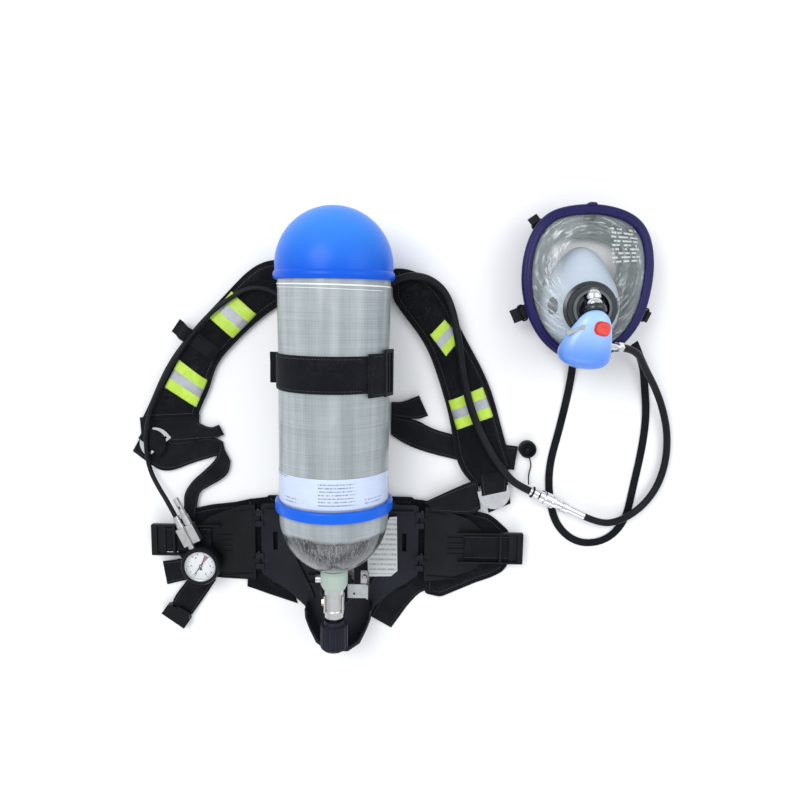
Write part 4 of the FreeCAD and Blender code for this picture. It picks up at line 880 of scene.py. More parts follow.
def make_studio():
    world = bpy.data.worlds.new("studio")
    world.use_nodes = True
    sky = world.node_tree.nodes["Background"]
    sky.inputs["Color"].default_value = rgb(0.93, 0.96, 1.0)
    sky.inputs["Strength"].default_value = 0.78
    bpy.context.scene.world = world
    aim = (0.1, 0.05, 0.05)
    area_light("key", (-0.55, 0.75, 1.5), aim, (0.9, 0.9), 14.0)
    area_light("fill", (1.3, 0.5, 1.2), aim, (1.0, 1.0), 6.0, (0.95, 0.97, 1.0))
    area_light("low", (0.1, -1.3, 0.9), aim, (1.6, 0.6), 5.0)
    scene = bpy.context.scene
    scene.view_settings.view_transform = "Standard"
    scene.view_settings.look = "None"


def make_floor():
    floor = mesh_piece("floor", [(-4, -4, -0.0003), (4, -4, -0.0003), (4, 4, -0.0003), (-4, 4, -0.0003)],
                       [(0, 1, 2, 3)], smooth=False)
    made, w, shader = material("pale_floor", Roughness=0.9)
    cloud = w.noise(w.placed(), 1.5, 3.0)
    w.join(w.blend(cloud, rgb(0.90, 0.90, 0.90), rgb(0.93, 0.93, 0.93)), shader.inputs["Base Color"])
    finish_with(floor, made)


# ------------------------------------------------------------------ hoses and the neck strap
GAUGE_ROUTE = [
    (-13, -127, 27), (-13, -98, 27), (-36, -66, 22), (-57, -27, 19), (-62, 30, 18),
    (-61, 110, 18), (-64, 190, 19), (-74, 250, 21), (-98, 276, 23), (-134, 282, 24),
    (-168, 263, 24), (-205, 233, 24), (-238, 192, 24), (-267, 147, 24), (-289, 103, 23),
    (-302, 62, 20), (-305, 24, 15), (-300, -8, 14), (-286, -32, 20), (-267.97, -53.54, 31),
    (-256.62, -76.82, 31)]
SUPPLY_ROUTE = [
    (10, -127, 27), (10, -92, 27), (30, -56, 23), (53, -20, 21), (60, 40, 21), (59, 110, 21),
    (56, 185, 22), (55, 254, 22), (70, 286, 23), (99, 301, 24), (131, 299, 24), (157, 281, 24),
    (171, 251, 24), (181, 207, 24), (188, 160, 24), (199, 112, 24), (215, 70, 24), (237, 29, 24),
    (262, -5, 22.5), (280.1, -22.39, 14), (301, -32, 14)]
DEMAND_ROUTE = [
    (388.22, -72.12, 14), (416.38, -85.07, 14), (448, -80, 12.5), (480, -58, 12), (504, -25, 10.5),
    (516, 18, 9), (515, 64, 9), (502, 106, 14), (483, 140, 26), (461, 168, 43),
    (439.07, 197.37, 67.74), (410, 201, 85)]
NECK_ROUTE = [
    (358, 190, 23), (359, 178, 16), (361, 158, 6), (357, 120, 1.2), (346, 64, 1.2), (333, 8, 1.2),
    (334, -40, 1.2), (347, -92, 1.2), (384, -123, 1.2), (430, -118, 1.2), (460, -84, 1.2), (469, -26, 1.2),
    (479, 34, 1.2), (483, 88, 1.2), (476, 136, 5), (467, 176, 15), (446, 205, 34)]
HOSES = [
    ("gauge_hose_line", "gauge_hose", GAUGE_ROUTE, 0.007, 0.897),
    ("supply_hose_line", "supply_hose", SUPPLY_ROUTE, 0.012, 0.877),
    ("demand_hose_line", "demand_hose", DEMAND_ROUTE, 0.011, 0.432),
]


def make_cords():
    for name, node, route, diameter, length in HOSES:
        hose = hose_curve(name, mm(route), diameter, MAT["hose_rubber"])
        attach(hose, "pack")
        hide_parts(node)
    line = smooth_line(mm(NECK_ROUTE), 6)
    strap = band_along("neck_strap_tape", line, 0.012, 0.0018)
    settle(strap, MAT["webbing"], replaces=("neck_strap",))


make_camera()
make_studio()
make_floor()
finish_kept_nodes()
make_cords()


# ------------------------------------------------------------------ outlines and soft pads
def evenly(points, gap, closed=True):
    """Points set an even distance apart round a line."""
    ring = list(points) + ([points[0]] if closed else [])
    total = length_of(ring)
    count = max(8, int(total / gap))
    steps = [total * i / count for i in range(count if closed else count + 1)]
    out, walked, k = [], 0.0, 0
    for step in steps:
        while k < len(ring) - 2 and walked + (ring[k + 1] - ring[k]).length < step:
            walked += (ring[k + 1] - ring[k]).length
            k += 1
        span = (ring[k + 1] - ring[k]).length or 1e-9
        out.append(ring[k].lerp(ring[k + 1], min(1.0, (step - walked) / span)))
    return out


def outlines(node, height):
    """The closed outlines of a node at a height, each as an ordered loop."""
    work = bmesh.new()
    work.from_mesh(NODES[node].data)
    bmesh.ops.remove_doubles(work, verts=work.verts, dist=1e-6)
    cut = bmesh.ops.bisect_plane(work, geom=work.verts[:] + work.edges[:] + work.faces[:],
                                 plane_co=(0, 0, height), plane_no=(0, 0, 1))
    edges = [e for e in cut["geom_cut"] if isinstance(e, bmesh.types.BMEdge)]
    near = {}
    for edge in edges:
        a, b = edge.verts
        near.setdefault(a, []).append(b)
        near.setdefault(b, []).append(a)
    loops, seen = [], set()
    for first in near:
        if first in seen:
            continue
        loop, spot = [], first
        while spot is not None:
            seen.add(spot)
            loop.append(spot.co.copy())
            spot = next((v for v in near[spot] if v not in seen), None)
        if len(loop) > 2:
            loops.append(loop)
    work.free()
    return [turned_left(evenly(loop, 0.003)) for loop in loops]


def turned_left(loop):
    """The loop in anticlockwise order, seen from above."""
    area = sum(a.x * b.y - b.x * a.y for a, b in zip(loop, loop[1:] + loop[:1]))
    return loop if area > 0 else list(reversed(loop))


def drawn_in(loop, inset, passes=3):
    """A loop moved inwards and eased round its corners."""
    count = len(loop)
    moved = []
    for i, point in enumerate(loop):
        ahead = (loop[(i + 2) % count] - loop[i - 2]).normalized()
        moved.append(point + Vector((-ahead.y, ahead.x, 0)) * inset)
    for _ in range(passes):
        moved = [(moved[i - 1] + moved[i] * 2 + moved[(i + 1) % count]) / 4 for i in range(count)]
    return moved


def tube_round(name, loop, radius, flat=1.0, sides=8):
    """A closed tube along a loop; flat squeezes it from above."""
    rings = []
    count = len(loop)
    for i, point in enumerate(loop):
        ahead = (loop[(i + 1) % count] - loop[i - 1]).normalized()
        side = ahead.cross(UP).normalized()
        rise = side.cross(ahead)
        ring = []
        for k in range(sides):
            angle = 2 * math.pi * k / sides
            ring.append(point + side * radius * math.cos(angle) + rise * radius * flat * math.sin(angle))
        rings.append(ring)
    rings.append(rings[0])
    return tidy_mesh(lofted(name, rings))


def swell(piece, limit, pressure=4.0):
    """Blow a closed shell up like stuffed cloth; no point moves further than the limit."""
    rest = [v.co.copy() for v in piece.data.vertices]
    mod = piece.modifiers.new("stuffing", "CLOTH")
    mod.settings.use_pressure = True
    mod.settings.uniform_pressure_force = pressure
    mod.settings.tension_stiffness = 12
    mod.settings.compression_stiffness = 12
    mod.settings.bending_stiffness = 0.6
    mod.settings.quality = 5
    mod.settings.effector_weights.gravity = 0.0
    scene = bpy.context.scene
    for number in range(1, 21):
        scene.frame_set(number)
    graph = bpy.context.evaluated_depsgraph_get()
    blown = piece.evaluated_get(graph)
    puffed = [v.co.copy() for v in blown.data.vertices]
    piece.modifiers.clear()
    scene.frame_set(1)
    for vert, old, new in zip(piece.data.vertices, rest, puffed):
        move = new - old
        if move.length > limit:
            move *= limit / move.length
        vert.co = old + move
    return piece


def grid_of(loops, cell=0.01):
    """Loop points sorted into cells, so that near ones are found quickly."""
    cells = {}
    for loop in loops:
        for p in loop:
            cells.setdefault((int(p.x // cell), int(p.y // cell)), []).append(p)
    return cells


def gap_to(cells, point, cell=0.01):
    cx, cy = int(point.x // cell), int(point.y // cell)
    best = cell
    for i in (cx - 1, cx, cx + 1):
        for j in (cy - 1, cy, cy + 1):
            for p in cells.get((i, j), ()):
                best = min(best, math.hypot(p.x - point.x, p.y - point.y))
    return best


def soft_pad(node, body, low, high, voxel, shrink, limit, seams, channel):
    """A stuffed pad over a node's own outline, with its seams pressed in."""
    data = NODES[node].data.copy()
    data.materials.clear()
    piece = link(bpy.data.objects.new(node + "_soft", data))
    tidy_mesh(piece, 1e-6)
    applied(piece, "REMESH", "even", mode="VOXEL", voxel_size=voxel)
    applied(piece, "DISPLACE", "slim", strength=-shrink, mid_level=0.0)
    swell(piece, limit)
    rounded(piece)
    applied(piece, "SMOOTH", "ease", factor=0.5, iterations=2)
    cells = grid_of(seams)
    width, depth = channel
    for vert in piece.data.vertices:
        spot = vert.co
        ripple = noise.noise(spot * 45.0) * 0.0007
        if spot.z > (low + high) / 2:
            gap = gap_to(cells, spot)
            if gap < width:
                spot.z -= depth * (1 - (gap / width) ** 2) ** 2
            spot.z += ripple
        spot.z = max(spot.z, low)
    settle(piece, MAT["pad_fabric"], body, (node,))
    return piece


def top_finder(pieces):
    """A function that gives the height of the highest of some pieces over a point."""
    trees = [BVHTree.FromPolygons([v.co.copy() for v in p.data.vertices],
                                  [tuple(f.vertices) for f in p.data.polygons]) for p in pieces]

    def top(x, y, otherwise):
        best = None
        for tree in trees:
            hit = tree.ray_cast(Vector((x, y, 0.3)), Vector((0, 0, -1)))[0]
            if hit is not None and (best is None or hit.z > best):
                best = hit.z
        return otherwise if best is None else best

    return top


def laid_on(loop, top, otherwise, rise):
    return [Vector((p.x, p.y, top(p.x, p.y, otherwise) + rise)) for p in loop]


def finish_pad_edges(node, body, pad, low, high, edge_in, seam_in, piping, level):
    """Piping round the pad's edge and a row of stitches beside it."""
    top = top_finder([pad])
    for number, loop in enumerate(outlines(node, (low + high) / 2)):
        back = [Vector((p.x, p.y, level - 0.001)) for p in drawn_in(loop, 0.0015)]
        backing = mesh_piece(f"{node}_backing_{number}", back, [tuple(range(len(back)))])
        applied(backing, "SOLIDIFY", "cloth", thickness=0.002, offset=0.0)
        settle(backing, MAT["pad_fabric"], body)
        edge = [Vector((p.x, p.y, level)) for p in drawn_in(loop, edge_in)]
        cord = tube_round(f"{node}_piping_{number}", edge, piping, 1.1)
        settle(cord, MAT["binding"], body)
        row = laid_on(evenly(drawn_in(loop, seam_in), 0.002), top, high, 0.0001)
        repeated(f"{node}_stitches_{number}", [row + row[:1]], MAT["thread"], "webbing", body,
                 Spacing=0.0042, Along=0.0030, Across=0.0008, Rise=0.0006)


# lift, voxel, shrink, limit, channel (width, depth), inset, stitch, piping, rise, fill
STUFFED = (0.0, 0.0045, 0.0008, 0.0035, (0.005, 0.0022), 0.0024, 0.009, 0.0022, 0.0060, 0.7)
FLAT = (0.0002, 0.004, 0.0008, 0.0008, (0.005, 0.0012), 0.0014, 0.008, 0.0015, 0.0030, 0.5)
PADS = [("shoulder_pad_left", "pack", STUFFED), ("hip_pad_left", "hip_left", FLAT),
        ("shoulder_pad_right", "pack", STUFFED), ("hip_pad_right", "hip_right", FLAT),
        ("lumbar_pads", "pack", FLAT)]
SEAM_INSET = 0.008


def make_pads():
    pads = {}
    for node, body, make in PADS:
        lift, voxel, shrink, limit, channel, inset, stitch, piping, rise, fill = make
        low, high = (corner.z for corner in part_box(node))
        seams = [drawn_in(loop, SEAM_INSET) for loop in outlines(node, (low + high) / 2)]
        pads[node] = soft_pad(node, body, low + lift, high, voxel, shrink, limit, seams, channel)
        finish_pad_edges(node, body, pads[node], low, high, inset, stitch, piping, low + rise)
    return pads


# ------------------------------------------------------------------ cloth between two edges
def walk(points, share):
    """The point at a share of the way along some points."""
    total = length_of(points)
    goal = total * share
    for a, b in zip(points, points[1:]):
        span = (b - a).length
        if goal <= span:
            return a.lerp(b, goal / span if span else 0)
        goal -= span
    return points[-1].copy()


def eased(points, passes=2):
    """Corner cutting, so that an edge given point by point runs smoothly."""
    for _ in range(passes):
        made = [points[0]]
        for a, b in zip(points, points[1:]):
            made += [a.lerp(b, 0.25), a.lerp(b, 0.75)]
        points = made + [points[-1]]
    return points


def cloth_between(name, edge_a, edge_b, height_at, thick, across=8, cell=0.003, unit_map=False):
    """A sheet between two edges; height_at(x, y, u, v) gives its underside."""
    edge_a, edge_b = eased(edge_a), eased(edge_b)
    long = max(length_of(edge_a), length_of(edge_b))
    wide = (edge_a[0] - edge_b[0]).length
    steps = max(4, int(long / cell))
    verts, spots = [], []
    for i in range(steps + 1):
        v = i / steps
        a, b = walk(edge_a, v), walk(edge_b, v)
        for k in range(across + 1):
            u = k / across
            p = a.lerp(b, u)
            verts.append(Vector((p.x, p.y, height_at(p.x, p.y, u, v))))
            spots.append((u, v) if unit_map else (u * wide, v * long))
    row = across + 1
    faces = [(i * row + k, i * row + k + 1, (i + 1) * row + k + 1, (i + 1) * row + k)
             for i in range(steps) for k in range(across)]
    piece = mapped(mesh_piece(name, verts, faces), spots)
    facing_up(piece)
    return applied(piece, "SOLIDIFY", "cloth", thickness=thick, offset=1.0)


def edge_rows(edge_a, edge_b, inset, height_at, rise):
    """Two lines just inside the edges of such a sheet, for its stitches."""
    edge_a, edge_b = eased(edge_a), eased(edge_b)
    rows = []
    for u in (inset, 1 - inset):
        row = []
        for i in range(41):
            p = walk(edge_a, i / 40).lerp(walk(edge_b, i / 40), u)
            row.append(Vector((p.x, p.y, height_at(p.x, p.y, u, i / 40) + rise)))
        rows.append(row)
    return rows


WEB_THICK = 0.0015
STRAPS = [
    # name, body, underside height at each end, one edge, other edge (mm), the node it stands for
    ("shoulder_tail_left", "pack", 3.0, 3.0,
     [(-330, 21), (-301, -1), (-287, -10), (-267, -10), (-236, 3), (-208, 12), (-183, 20)],
     [(-316, 46), (-290, 46), (-262, 38), (-228, 44), (-202, 46), (-187, 39)],
     "shoulder_webbing_left"),
    ("shoulder_drop_left", "pack", 5.0, 6.2,
     [(-175, 8), (-176, -4), (-180, -14), (-190, -23), (-209, -34), (-225, -43), (-230, -66), (-233, -86)],
     [(-189, 36), (-196, 12), (-216, -8), (-237, -26), (-250, -47), (-250, -66), (-253, -86)], None),
    ("shoulder_anchor_left", "pack", 5.2, 5.2, [(-316, 76), (-270, 79), (-222, 82)],
     [(-314, 40), (-268, 36), (-226, 40)], None),
    ("anchor_tab_left", "pack", 5.2, 5.2, [(-226, 70), (-206, 60), (-192, 66)],
     [(-226, 42), (-198, 44), (-184, 50)], None),
    ("shoulder_end_right", "pack", 15.1, 15.1, [(135, -52), (209, -16), (217, -17)],
     [(150, -66), (211, -73), (224, -61)], "shoulder_webbing_right"),
    ("adjuster_drop_right", "pack", 15.8, 20.6, [(220, -8), (225, -40)], [(266, 6), (263, -31)], None),
    ("adjuster_loop_right", "pack", 3.0, 3.0, [(232, -34), (266, -12)], [(238, -72), (273, -56)], None),
    ("shoulder_tab_right", "pack", 6.0, 6.0, [(254, 41), (281, 38)], [(250, 2), (276, 0)], None),
    ("side_band", "pack", 3.0, 3.0, [(80, 84), (121, 78), (144, 64), (178, 55)],
     [(80, 53), (105, 37), (139, 25), (186, 14)], "side_straps"),
    ("side_tail", "pack", 5.0, 5.0, [(80, 106), (99, 106), (123, 117)],
     [(80, 84), (121, 78), (138, 85)], None),
    ("waist_tail", "pack", 0.2, 0.2, [(49, -251), (60, -226), (84, -202), (120, -182)],
     [(84, -271), (122, -214), (146, -202)], None),
    ("waist_strap_end", "hip_left", 1.0, 4.5, [(-251, -194), (-271, -220), (-276, -235)],
     [(-203, -192), (-227, -228), (-243, -251)], "waist_strap_left"),
    ("waist_strap_buckle_end", "hip_left", 1.0, 6.4, [(-289, -162), (-264, -157), (-238, -150)],
     [(-283, -201), (-256, -193), (-230, -186)], None),
    ("waist_webbing_left", "hip_left", 13.5, 13.5, [(-206, -99), (-292, -99)],
     [(-206, -140), (-292, -140)], None),
    ("waist_webbing_right", "hip_right", 13.5, 13.5, [(200, -105), (286, -105)],
     [(200, -148), (286, -148)], None),
]


def flat_mm(points):
    return [Vector((x, y, 0)) * MM for x, y in points]


def make_straps():
    for name, body, low, high, first, second, node in STRAPS:
        def height(x, y, u, v, low=low, high=high):
            wave = noise.noise(Vector((x, y, low)) * 28.0)
            level = low + (high - low) * v
            return level * MM + 0.0011 * abs(wave) * math.sin(math.pi * min(1, max(0, v)))
        edges = flat_mm(first), flat_mm(second)
        strap = cloth_between(name, *edges, height, WEB_THICK)
        settle(strap, MAT["webbing"], body, (node,) if node else ())
        repeated(name + "_stitches", edge_rows(*edges, 0.1, height, WEB_THICK), MAT["thread"],
                 "webbing", body, Spacing=0.0040, Along=0.0028, Across=0.0007, Rise=0.0005)


def make_gussets():
    """The cloth that carries the padding across each hip hinge."""
    hems = (("left", -1, [(-110, -50), (-104, -120), (-70, -230)],
             [(-146, -55), (-146, -120), (-152, -202)]),
            ("right", 1, [(110, -50), (112, -120), (116, -197)],
             [(146, -55), (146, -120), (152, -208)]))
    for name, side, inner, outer in hems:
        edges = flat_mm(inner), flat_mm(outer)

        def height(x, y, u, v):
            return 0.0024 + 0.0008 * noise.noise(Vector((x, y, 0)) * 40.0)

        gusset = cloth_between(f"hip_gusset_{name}", *edges, height, 0.0016, 16, 0.003)
        finish_with(gusset, MAT["pad_fabric"])
        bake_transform(gusset)


def make_adjuster_cover():
    """The webbing that fills the left adjuster and leaves its rim bare."""
    centre, reach, lean = Vector((-0.296, 0.036, 0)), 0.0215, math.radians(-43)
    arc, chord = [], []
    for i in range(19):
        t = math.pi * i / 18
        arc.append(centre + Vector((math.cos(t + lean), math.sin(t + lean), 0)) * reach)
        along = math.cos(t) * reach
        chord.append(centre + Vector((math.cos(lean), math.sin(lean), 0)) * along
                     + Vector((math.sin(lean), -math.cos(lean), 0)) * 0.008)

    def height(x, y, u, v):
        return 0.0113 + 0.0012 * math.sin(math.pi * u)

    cover = cloth_between("adjuster_cover_left", arc, chord, height, WEB_THICK, 10, 0.003)
    settle(cover, MAT["webbing"])


PATCHES = [
    # corners round each patch, so that the stripe runs between the first and last pairs (mm)
    ("patch_left_high", [(-166, 274), (-128, 240), (-165, 203), (-200, 234)]),
    ("patch_left_low", [(-248, 169), (-206, 137), (-224, 95), (-271, 126)]),
    ("patch_right_high", [(138, 212), (160, 236), (186, 208), (163, 180)]),
    ("patch_right_low", [(169, 110), (221, 133), (239, 87), (183, 65)]),
]


def make_patches(top):
    for number, (name, corners) in enumerate(PATCHES):
        a, b, c, d = corners
        edges = flat_mm([a, d]), flat_mm([b, c])

        def height(x, y, u, v):
            return top(x, y, PAD_TOP) + 0.0003

        patch = cloth_between(name, *edges, height, 0.0005, 16, 0.0025, unit_map=True)
        settle(patch, TAPE, replaces=("reflective_patches",) if number == 0 else ())
        repeated(name + "_stitches", edge_rows(*edges, 0.05, height, 0.0006), MAT["pale_thread"],
                 "webbing", Spacing=0.0038, Along=0.0026, Across=0.0006, Rise=0.0004)


def make_keeper(top):
    """The loop on the left shoulder that holds the gauge hose down."""
    edges = flat_mm([(-258, 212), (-196, 168)]), flat_mm([(-245, 231), (-183, 187)])

    def height(x, y, u, v):
        arch = math.exp(-((v - 0.27) / 0.12) ** 2)
        return max(top(x, y, PAD_TOP) + 0.0004, PAD_TOP + 0.0004 + 0.0128 * arch)

    loop = cloth_between("hose_keeper_loop", *edges, height, WEB_THICK, 8, 0.0022)
    settle(loop, MAT["webbing"])


# ------------------------------------------------------------------ on the cylinder
def round_patch(name, turn, along, lift, thick=0.0003, cells=(60, 24), slope=0.0):
    """A patch wrapped on the cylinder; turn is degrees from straight up, towards +X."""
    radius = CYL_R + lift
    verts, spots = [], []
    for i in range(cells[0] + 1):
        u = i / cells[0]
        angle = math.radians(turn[0] + (turn[1] - turn[0]) * u)
        for k in range(cells[1] + 1):
            v = k / cells[1]
            y = along[0] + (along[1] - along[0]) * v + slope * (u - 0.5)
            verts.append(Vector((radius * math.sin(angle), y, AXIS_Z + radius * math.cos(angle))))
            spots.append((u, v))
    row = cells[1] + 1
    faces = [(i * row + k, (i + 1) * row + k, (i + 1) * row + k + 1, i * row + k + 1)
             for i in range(cells[0]) for k in range(cells[1])]
    piece = mapped(mesh_piece(name, verts, faces), spots)
    return applied(piece, "SOLIDIFY", "paper", thickness=thick, offset=1.0)


def make_label_and_film():
    label = round_patch("cylinder_label_sheet", (-88, 80), (-0.017, 0.026), 0.0002)
    settle(label, LABEL)
    edge = round_patch("film_edge_band", (-100, 100), (0.2815, 0.2835), 0.0003, 0.0007, (90, 2), -0.0035)
    settle(edge, MAT["film_edge"])
    upper = round_patch("film_fold_band", (-95, 60), (0.2775, 0.2783), 0.0002, 0.0004, (90, 2), -0.0050)
    settle(upper, MAT["film_edge"])


def closed_strap(name, radius, along, thick, turn, lift_at=None, cells=96):
    """A strap round the cylinder, open or whole, thick in section."""
    section = [(0, 0.25), (0.02, 0.9), (0.06, 1), (0.5, 1.0), (0.94, 1), (0.98, 0.9), (1, 0.25),
               (0.98, 0), (0.5, 0), (0.02, 0)]
    rings = []
    for i in range(cells + 1):
        share = i / cells
        angle = math.radians(turn[0] + (turn[1] - turn[0]) * share)
        extra = lift_at(share) if lift_at else 0.0
        ring = []
        for v, t in section:
            r = radius + extra + thick * t
            y = along[0] + (along[1] - along[0]) * v
            ring.append(Vector((r * math.sin(angle), y, AXIS_Z + r * math.cos(angle))))
        rings.append(ring)
    piece = tidy_mesh(lofted(name, rings, cap=True))
    layer = piece.data.uv_layers.new(name="along")
    for loop in piece.data.loops:
        spot = piece.data.vertices[loop.vertex_index].co
        angle = math.atan2(spot.x, spot.z - AXIS_Z)
        layer.data[loop.index].uv = (spot.y, angle * radius)
    return piece


def arc_rows(radius, turn, stations, steps=80):
    rows = []
    for y in stations:
        row = []
        for i in range(steps + 1):
            angle = math.radians(turn[0] + (turn[1] - turn[0]) * i / steps)
            row.append(Vector((radius * math.sin(angle), y, AXIS_Z + radius * math.cos(angle))))
        rows.append(row)
    return rows


def make_band():
    """The hook-and-loop strap that holds the cylinder, its overlap and its left ear."""
    start, stop = 0.140, 0.190
    band = closed_strap("cylinder_strap", CYL_R + 0.0006, (start, stop), 0.0021, (-178, 178))
    settle(band, MAT["velcro"], replaces=("cylinder_band",))

    def rise(share):
        return 0.0012 * math.exp(-((share - 0.02) / 0.05) ** 2)

    flap = closed_strap("cylinder_strap_flap", CYL_R + 0.0029, (start - 0.006, stop + 0.003), 0.0022,
                        (38, 118), rise)
    settle(flap, MAT["velcro"])
    rows = arc_rows(CYL_R + 0.0028, (-90, 30), (start + 0.004, stop - 0.004))
    rows += arc_rows(CYL_R + 0.0052, (42, 100), (start - 0.002, stop - 0.001))
    repeated("cylinder_strap_stitches", rows, MAT["thread"], "webbing",
             Spacing=0.0042, Along=0.0030, Across=0.0006, Rise=0.0006)
    ear_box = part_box("cylinder_band")
    left = ear_box[0].x
    edges = ([Vector((left, start + 0.004, 0)), Vector((left, stop - 0.002, 0))],
             [Vector((-0.070, start + 0.004, 0)), Vector((-0.070, stop - 0.002, 0))])

    def ear_height(x, y, u, v):
        return AXIS_Z - 0.024 + 0.006 * u + 0.0008 * math.sin(v * 9)

    ear = cloth_between("cylinder_strap_ear", *edges, ear_height, 0.0028, 10, 0.003)
    settle(ear, MAT["velcro"])


# ------------------------------------------------------------------ the gauge's dial
def flat_sector(name, centre, height, inner, outer, turn, steps=24):
    verts = []
    for i in range(steps + 1):
        angle = math.radians(turn[0] + (turn[1] - turn[0]) * i / steps)
        for radius in (inner, outer):
            verts.append((centre.x + radius * math.cos(angle), centre.y + radius * math.sin(angle), height))
    faces = [(2 * i, 2 * i + 1, 2 * i + 3, 2 * i + 2) for i in range(steps)]
    return facing_up(mesh_piece(name, verts, faces, smooth=False))


def dial_arc(radius, turn, height, steps=60):
    row = []
    for i in range(steps + 1):
        angle = math.radians(turn[0] + (turn[1] - turn[0]) * i / steps)
        row.append(Vector((GAUGE.x + radius * math.cos(angle), GAUGE.y + radius * math.sin(angle), height)))
    return row


def make_dial():
    face = 0.0346
    sweep = (-60.0, 240.0)
    long = math.radians(sweep[1] - sweep[0])
    wedge = flat_sector("dial_warning_sector", GAUGE, face, 0.0035, 0.0188, (47, 71))
    settle(wedge, MAT["wedge_red"])
    spot = flat_sector("dial_hub_mark", GAUGE, face + 0.00005, 0.0030, 0.0072, (250, 292))
    settle(spot, MAT["needle_black"])
    fine = dial_arc(0.0202, sweep, face + 0.0001)
    repeated("dial_fine_ticks", [fine], MAT["needle_black"], "needle_black", "pack", BARS,
             Spacing=0.0202 * long / 60, Along=0.00028, Across=0.0016, Rise=0.00012)
    coarse = dial_arc(0.0192, sweep, face + 0.0001)
    repeated("dial_coarse_ticks", [coarse], MAT["needle_black"], "needle_black", "pack", BARS,
             Spacing=0.0192 * long / 12, Along=0.0006, Across=0.0034, Rise=0.00014)
    figures = dial_arc(0.0150, sweep, face + 0.0001)
    repeated("dial_figures", [figures], MAT["dial_grey"], "needle_black", "pack", BARS,
             Spacing=0.0150 * long / 6, Along=0.0026, Across=0.0019, Rise=0.00012)
    rim = [Vector((GAUGE.x + 0.0236 * math.cos(a), GAUGE.y + 0.0236 * math.sin(a), 0.0372))
           for a in (2 * math.pi * i / 96 for i in range(96))]
    ring = tube_round("gauge_bezel", turned_left(rim), 0.0011)
    settle(ring, MAT["steel"])


def make_plate_label():
    corners = [(80, -77), (91, -76), (93, -166), (83, -175), (46, -176), (45, -144)]
    data = bpy.data.meshes.new("plate_label_sheet")
    data.from_pydata([(x * MM, y * MM, 0.0186) for x, y in corners], [], [tuple(range(6))])
    piece = link(bpy.data.objects.new("plate_label_sheet", data))
    if piece.data.polygons[0].normal.z < 0:
        piece.data.flip_normals()
    layer = piece.data.uv_layers.new(name="along")
    for loop in piece.data.loops:
        spot = piece.data.vertices[loop.vertex_index].co
        layer.data[loop.index].uv = ((spot.x - 0.045) / 0.048, (spot.y + 0.176) / 0.10)
    applied(piece, "SOLIDIFY", "card", thickness=0.0004, offset=1.0)
    settle(piece, PLATE_LABEL)


PADS = make_pads()
SHOULDER_TOP = top_finder([PADS["shoulder_pad_left"], PADS["shoulder_pad_right"]])
make_patches(SHOULDER_TOP)
make_keeper(SHOULDER_TOP)
make_straps()
make_gussets()
make_adjuster_cover()
make_label_and_film()
make_band()
make_dial()
make_plate_label()


# ------------------------------------------------------------------ the face mask
MASK = Vector((0.363, 0.298, 0.0))
PORT_SPOT = Vector((0.358, 0.256, 0.0))
RIM = [(365, 403), (340, 401), (318, 397), (301, 390), (283, 368), (272, 335), (269, 303), (273, 268),
       (282, 240), (294, 218), (308, 202), (326, 188), (348, 180), (372, 179), (396, 187), (414, 200),
       (430, 216), (445, 243), (454, 278), (457, 306), (455, 338), (448, 364), (434, 384), (412, 395),
       (388, 401)]
CUP_RIM = [(356, 349), (341, 342), (327, 326), (314, 305), (304, 284), (300, 262), (303, 238),
           (315, 216), (336, 204), (360, 201), (384, 206), (404, 219), (414, 240), (416, 262),
           (411, 284), (400, 305), (387, 326), (372, 342)]
STEPS = 96


def radii_of(points, centre):
    """Distances from a centre to a star-shaped outline, at even turns."""
    polar = sorted((math.atan2(y * MM - centre.y, x * MM - centre.x) % (2 * math.pi),
                    math.hypot(x * MM - centre.x, y * MM - centre.y)) for x, y in points)
    polar = ([(polar[-1][0] - 2 * math.pi, polar[-1][1])] + polar
             + [(polar[0][0] + 2 * math.pi, polar[0][1])])
    out = []
    for i in range(STEPS):
        angle = 2 * math.pi * i / STEPS
        k = max(j for j in range(len(polar) - 1) if polar[j][0] <= angle)
        share = (angle - polar[k][0]) / (polar[k + 1][0] - polar[k][0])
        out.append(polar[k][1] + (polar[k + 1][1] - polar[k][1]) * share)
    for _ in range(5):
        out = [(out[i - 1] + 2 * out[i] + out[(i + 1) % STEPS]) / 4 for i in range(STEPS)]
    return out


RIM_R = radii_of(RIM, MASK)
CUP_R = radii_of(CUP_RIM, PORT_SPOT)


def ring_at(radii, centre, height, scale=1.0, grow=0.0, round_to=None, roundness=0.0):
    ring = []
    for i, radius in enumerate(radii):
        angle = 2 * math.pi * i / STEPS
        r = radius * scale + grow * MM
        if round_to is not None:
            r += (round_to * MM - r) * roundness
        ring.append(Vector((centre.x + r * math.cos(angle), centre.y + r * math.sin(angle), height * MM)))
    return ring


def mask_rings(steps):
    return [ring_at(RIM_R, MASK, height, 1.0, grow) for grow, height in steps]


def make_face_seal():
    outer = mask_rings([(-3, 56), (-4.5, 50), (-8, 42), (-10, 32), (-10.5, 22), (-9, 13), (-9.5, 6),
                        (-12, 1.6), (-17, 0.4), (-23, 0.6), (-28, 2.4), (-31, 6), (-32, 11)])
    seal = tidy_mesh(lofted("face_seal_skirt", outer))
    seal = walled(seal, 0.002)
    settle(seal, MAT["violet_rubber"], replaces=("face_seal",))
    inner = mask_rings([(-12, 57), (-11, 50), (-13, 40), (-15.5, 30), (-18, 20), (-23, 14),
                        (-30, 13), (-37, 14), (-43, 18)])
    lining = lofted("face_seal_lining", inner)
    for vert in lining.data.vertices:
        vert.co += Vector((noise.noise(vert.co * 70), noise.noise(vert.co * 70 + Vector((9, 0, 0))),
                           noise.noise(vert.co * 90) * 0.6)) * 0.0022
    tidy_mesh(lining)
    lining = walled(lining, 0.0009)
    settle(lining, MAT["lining"])


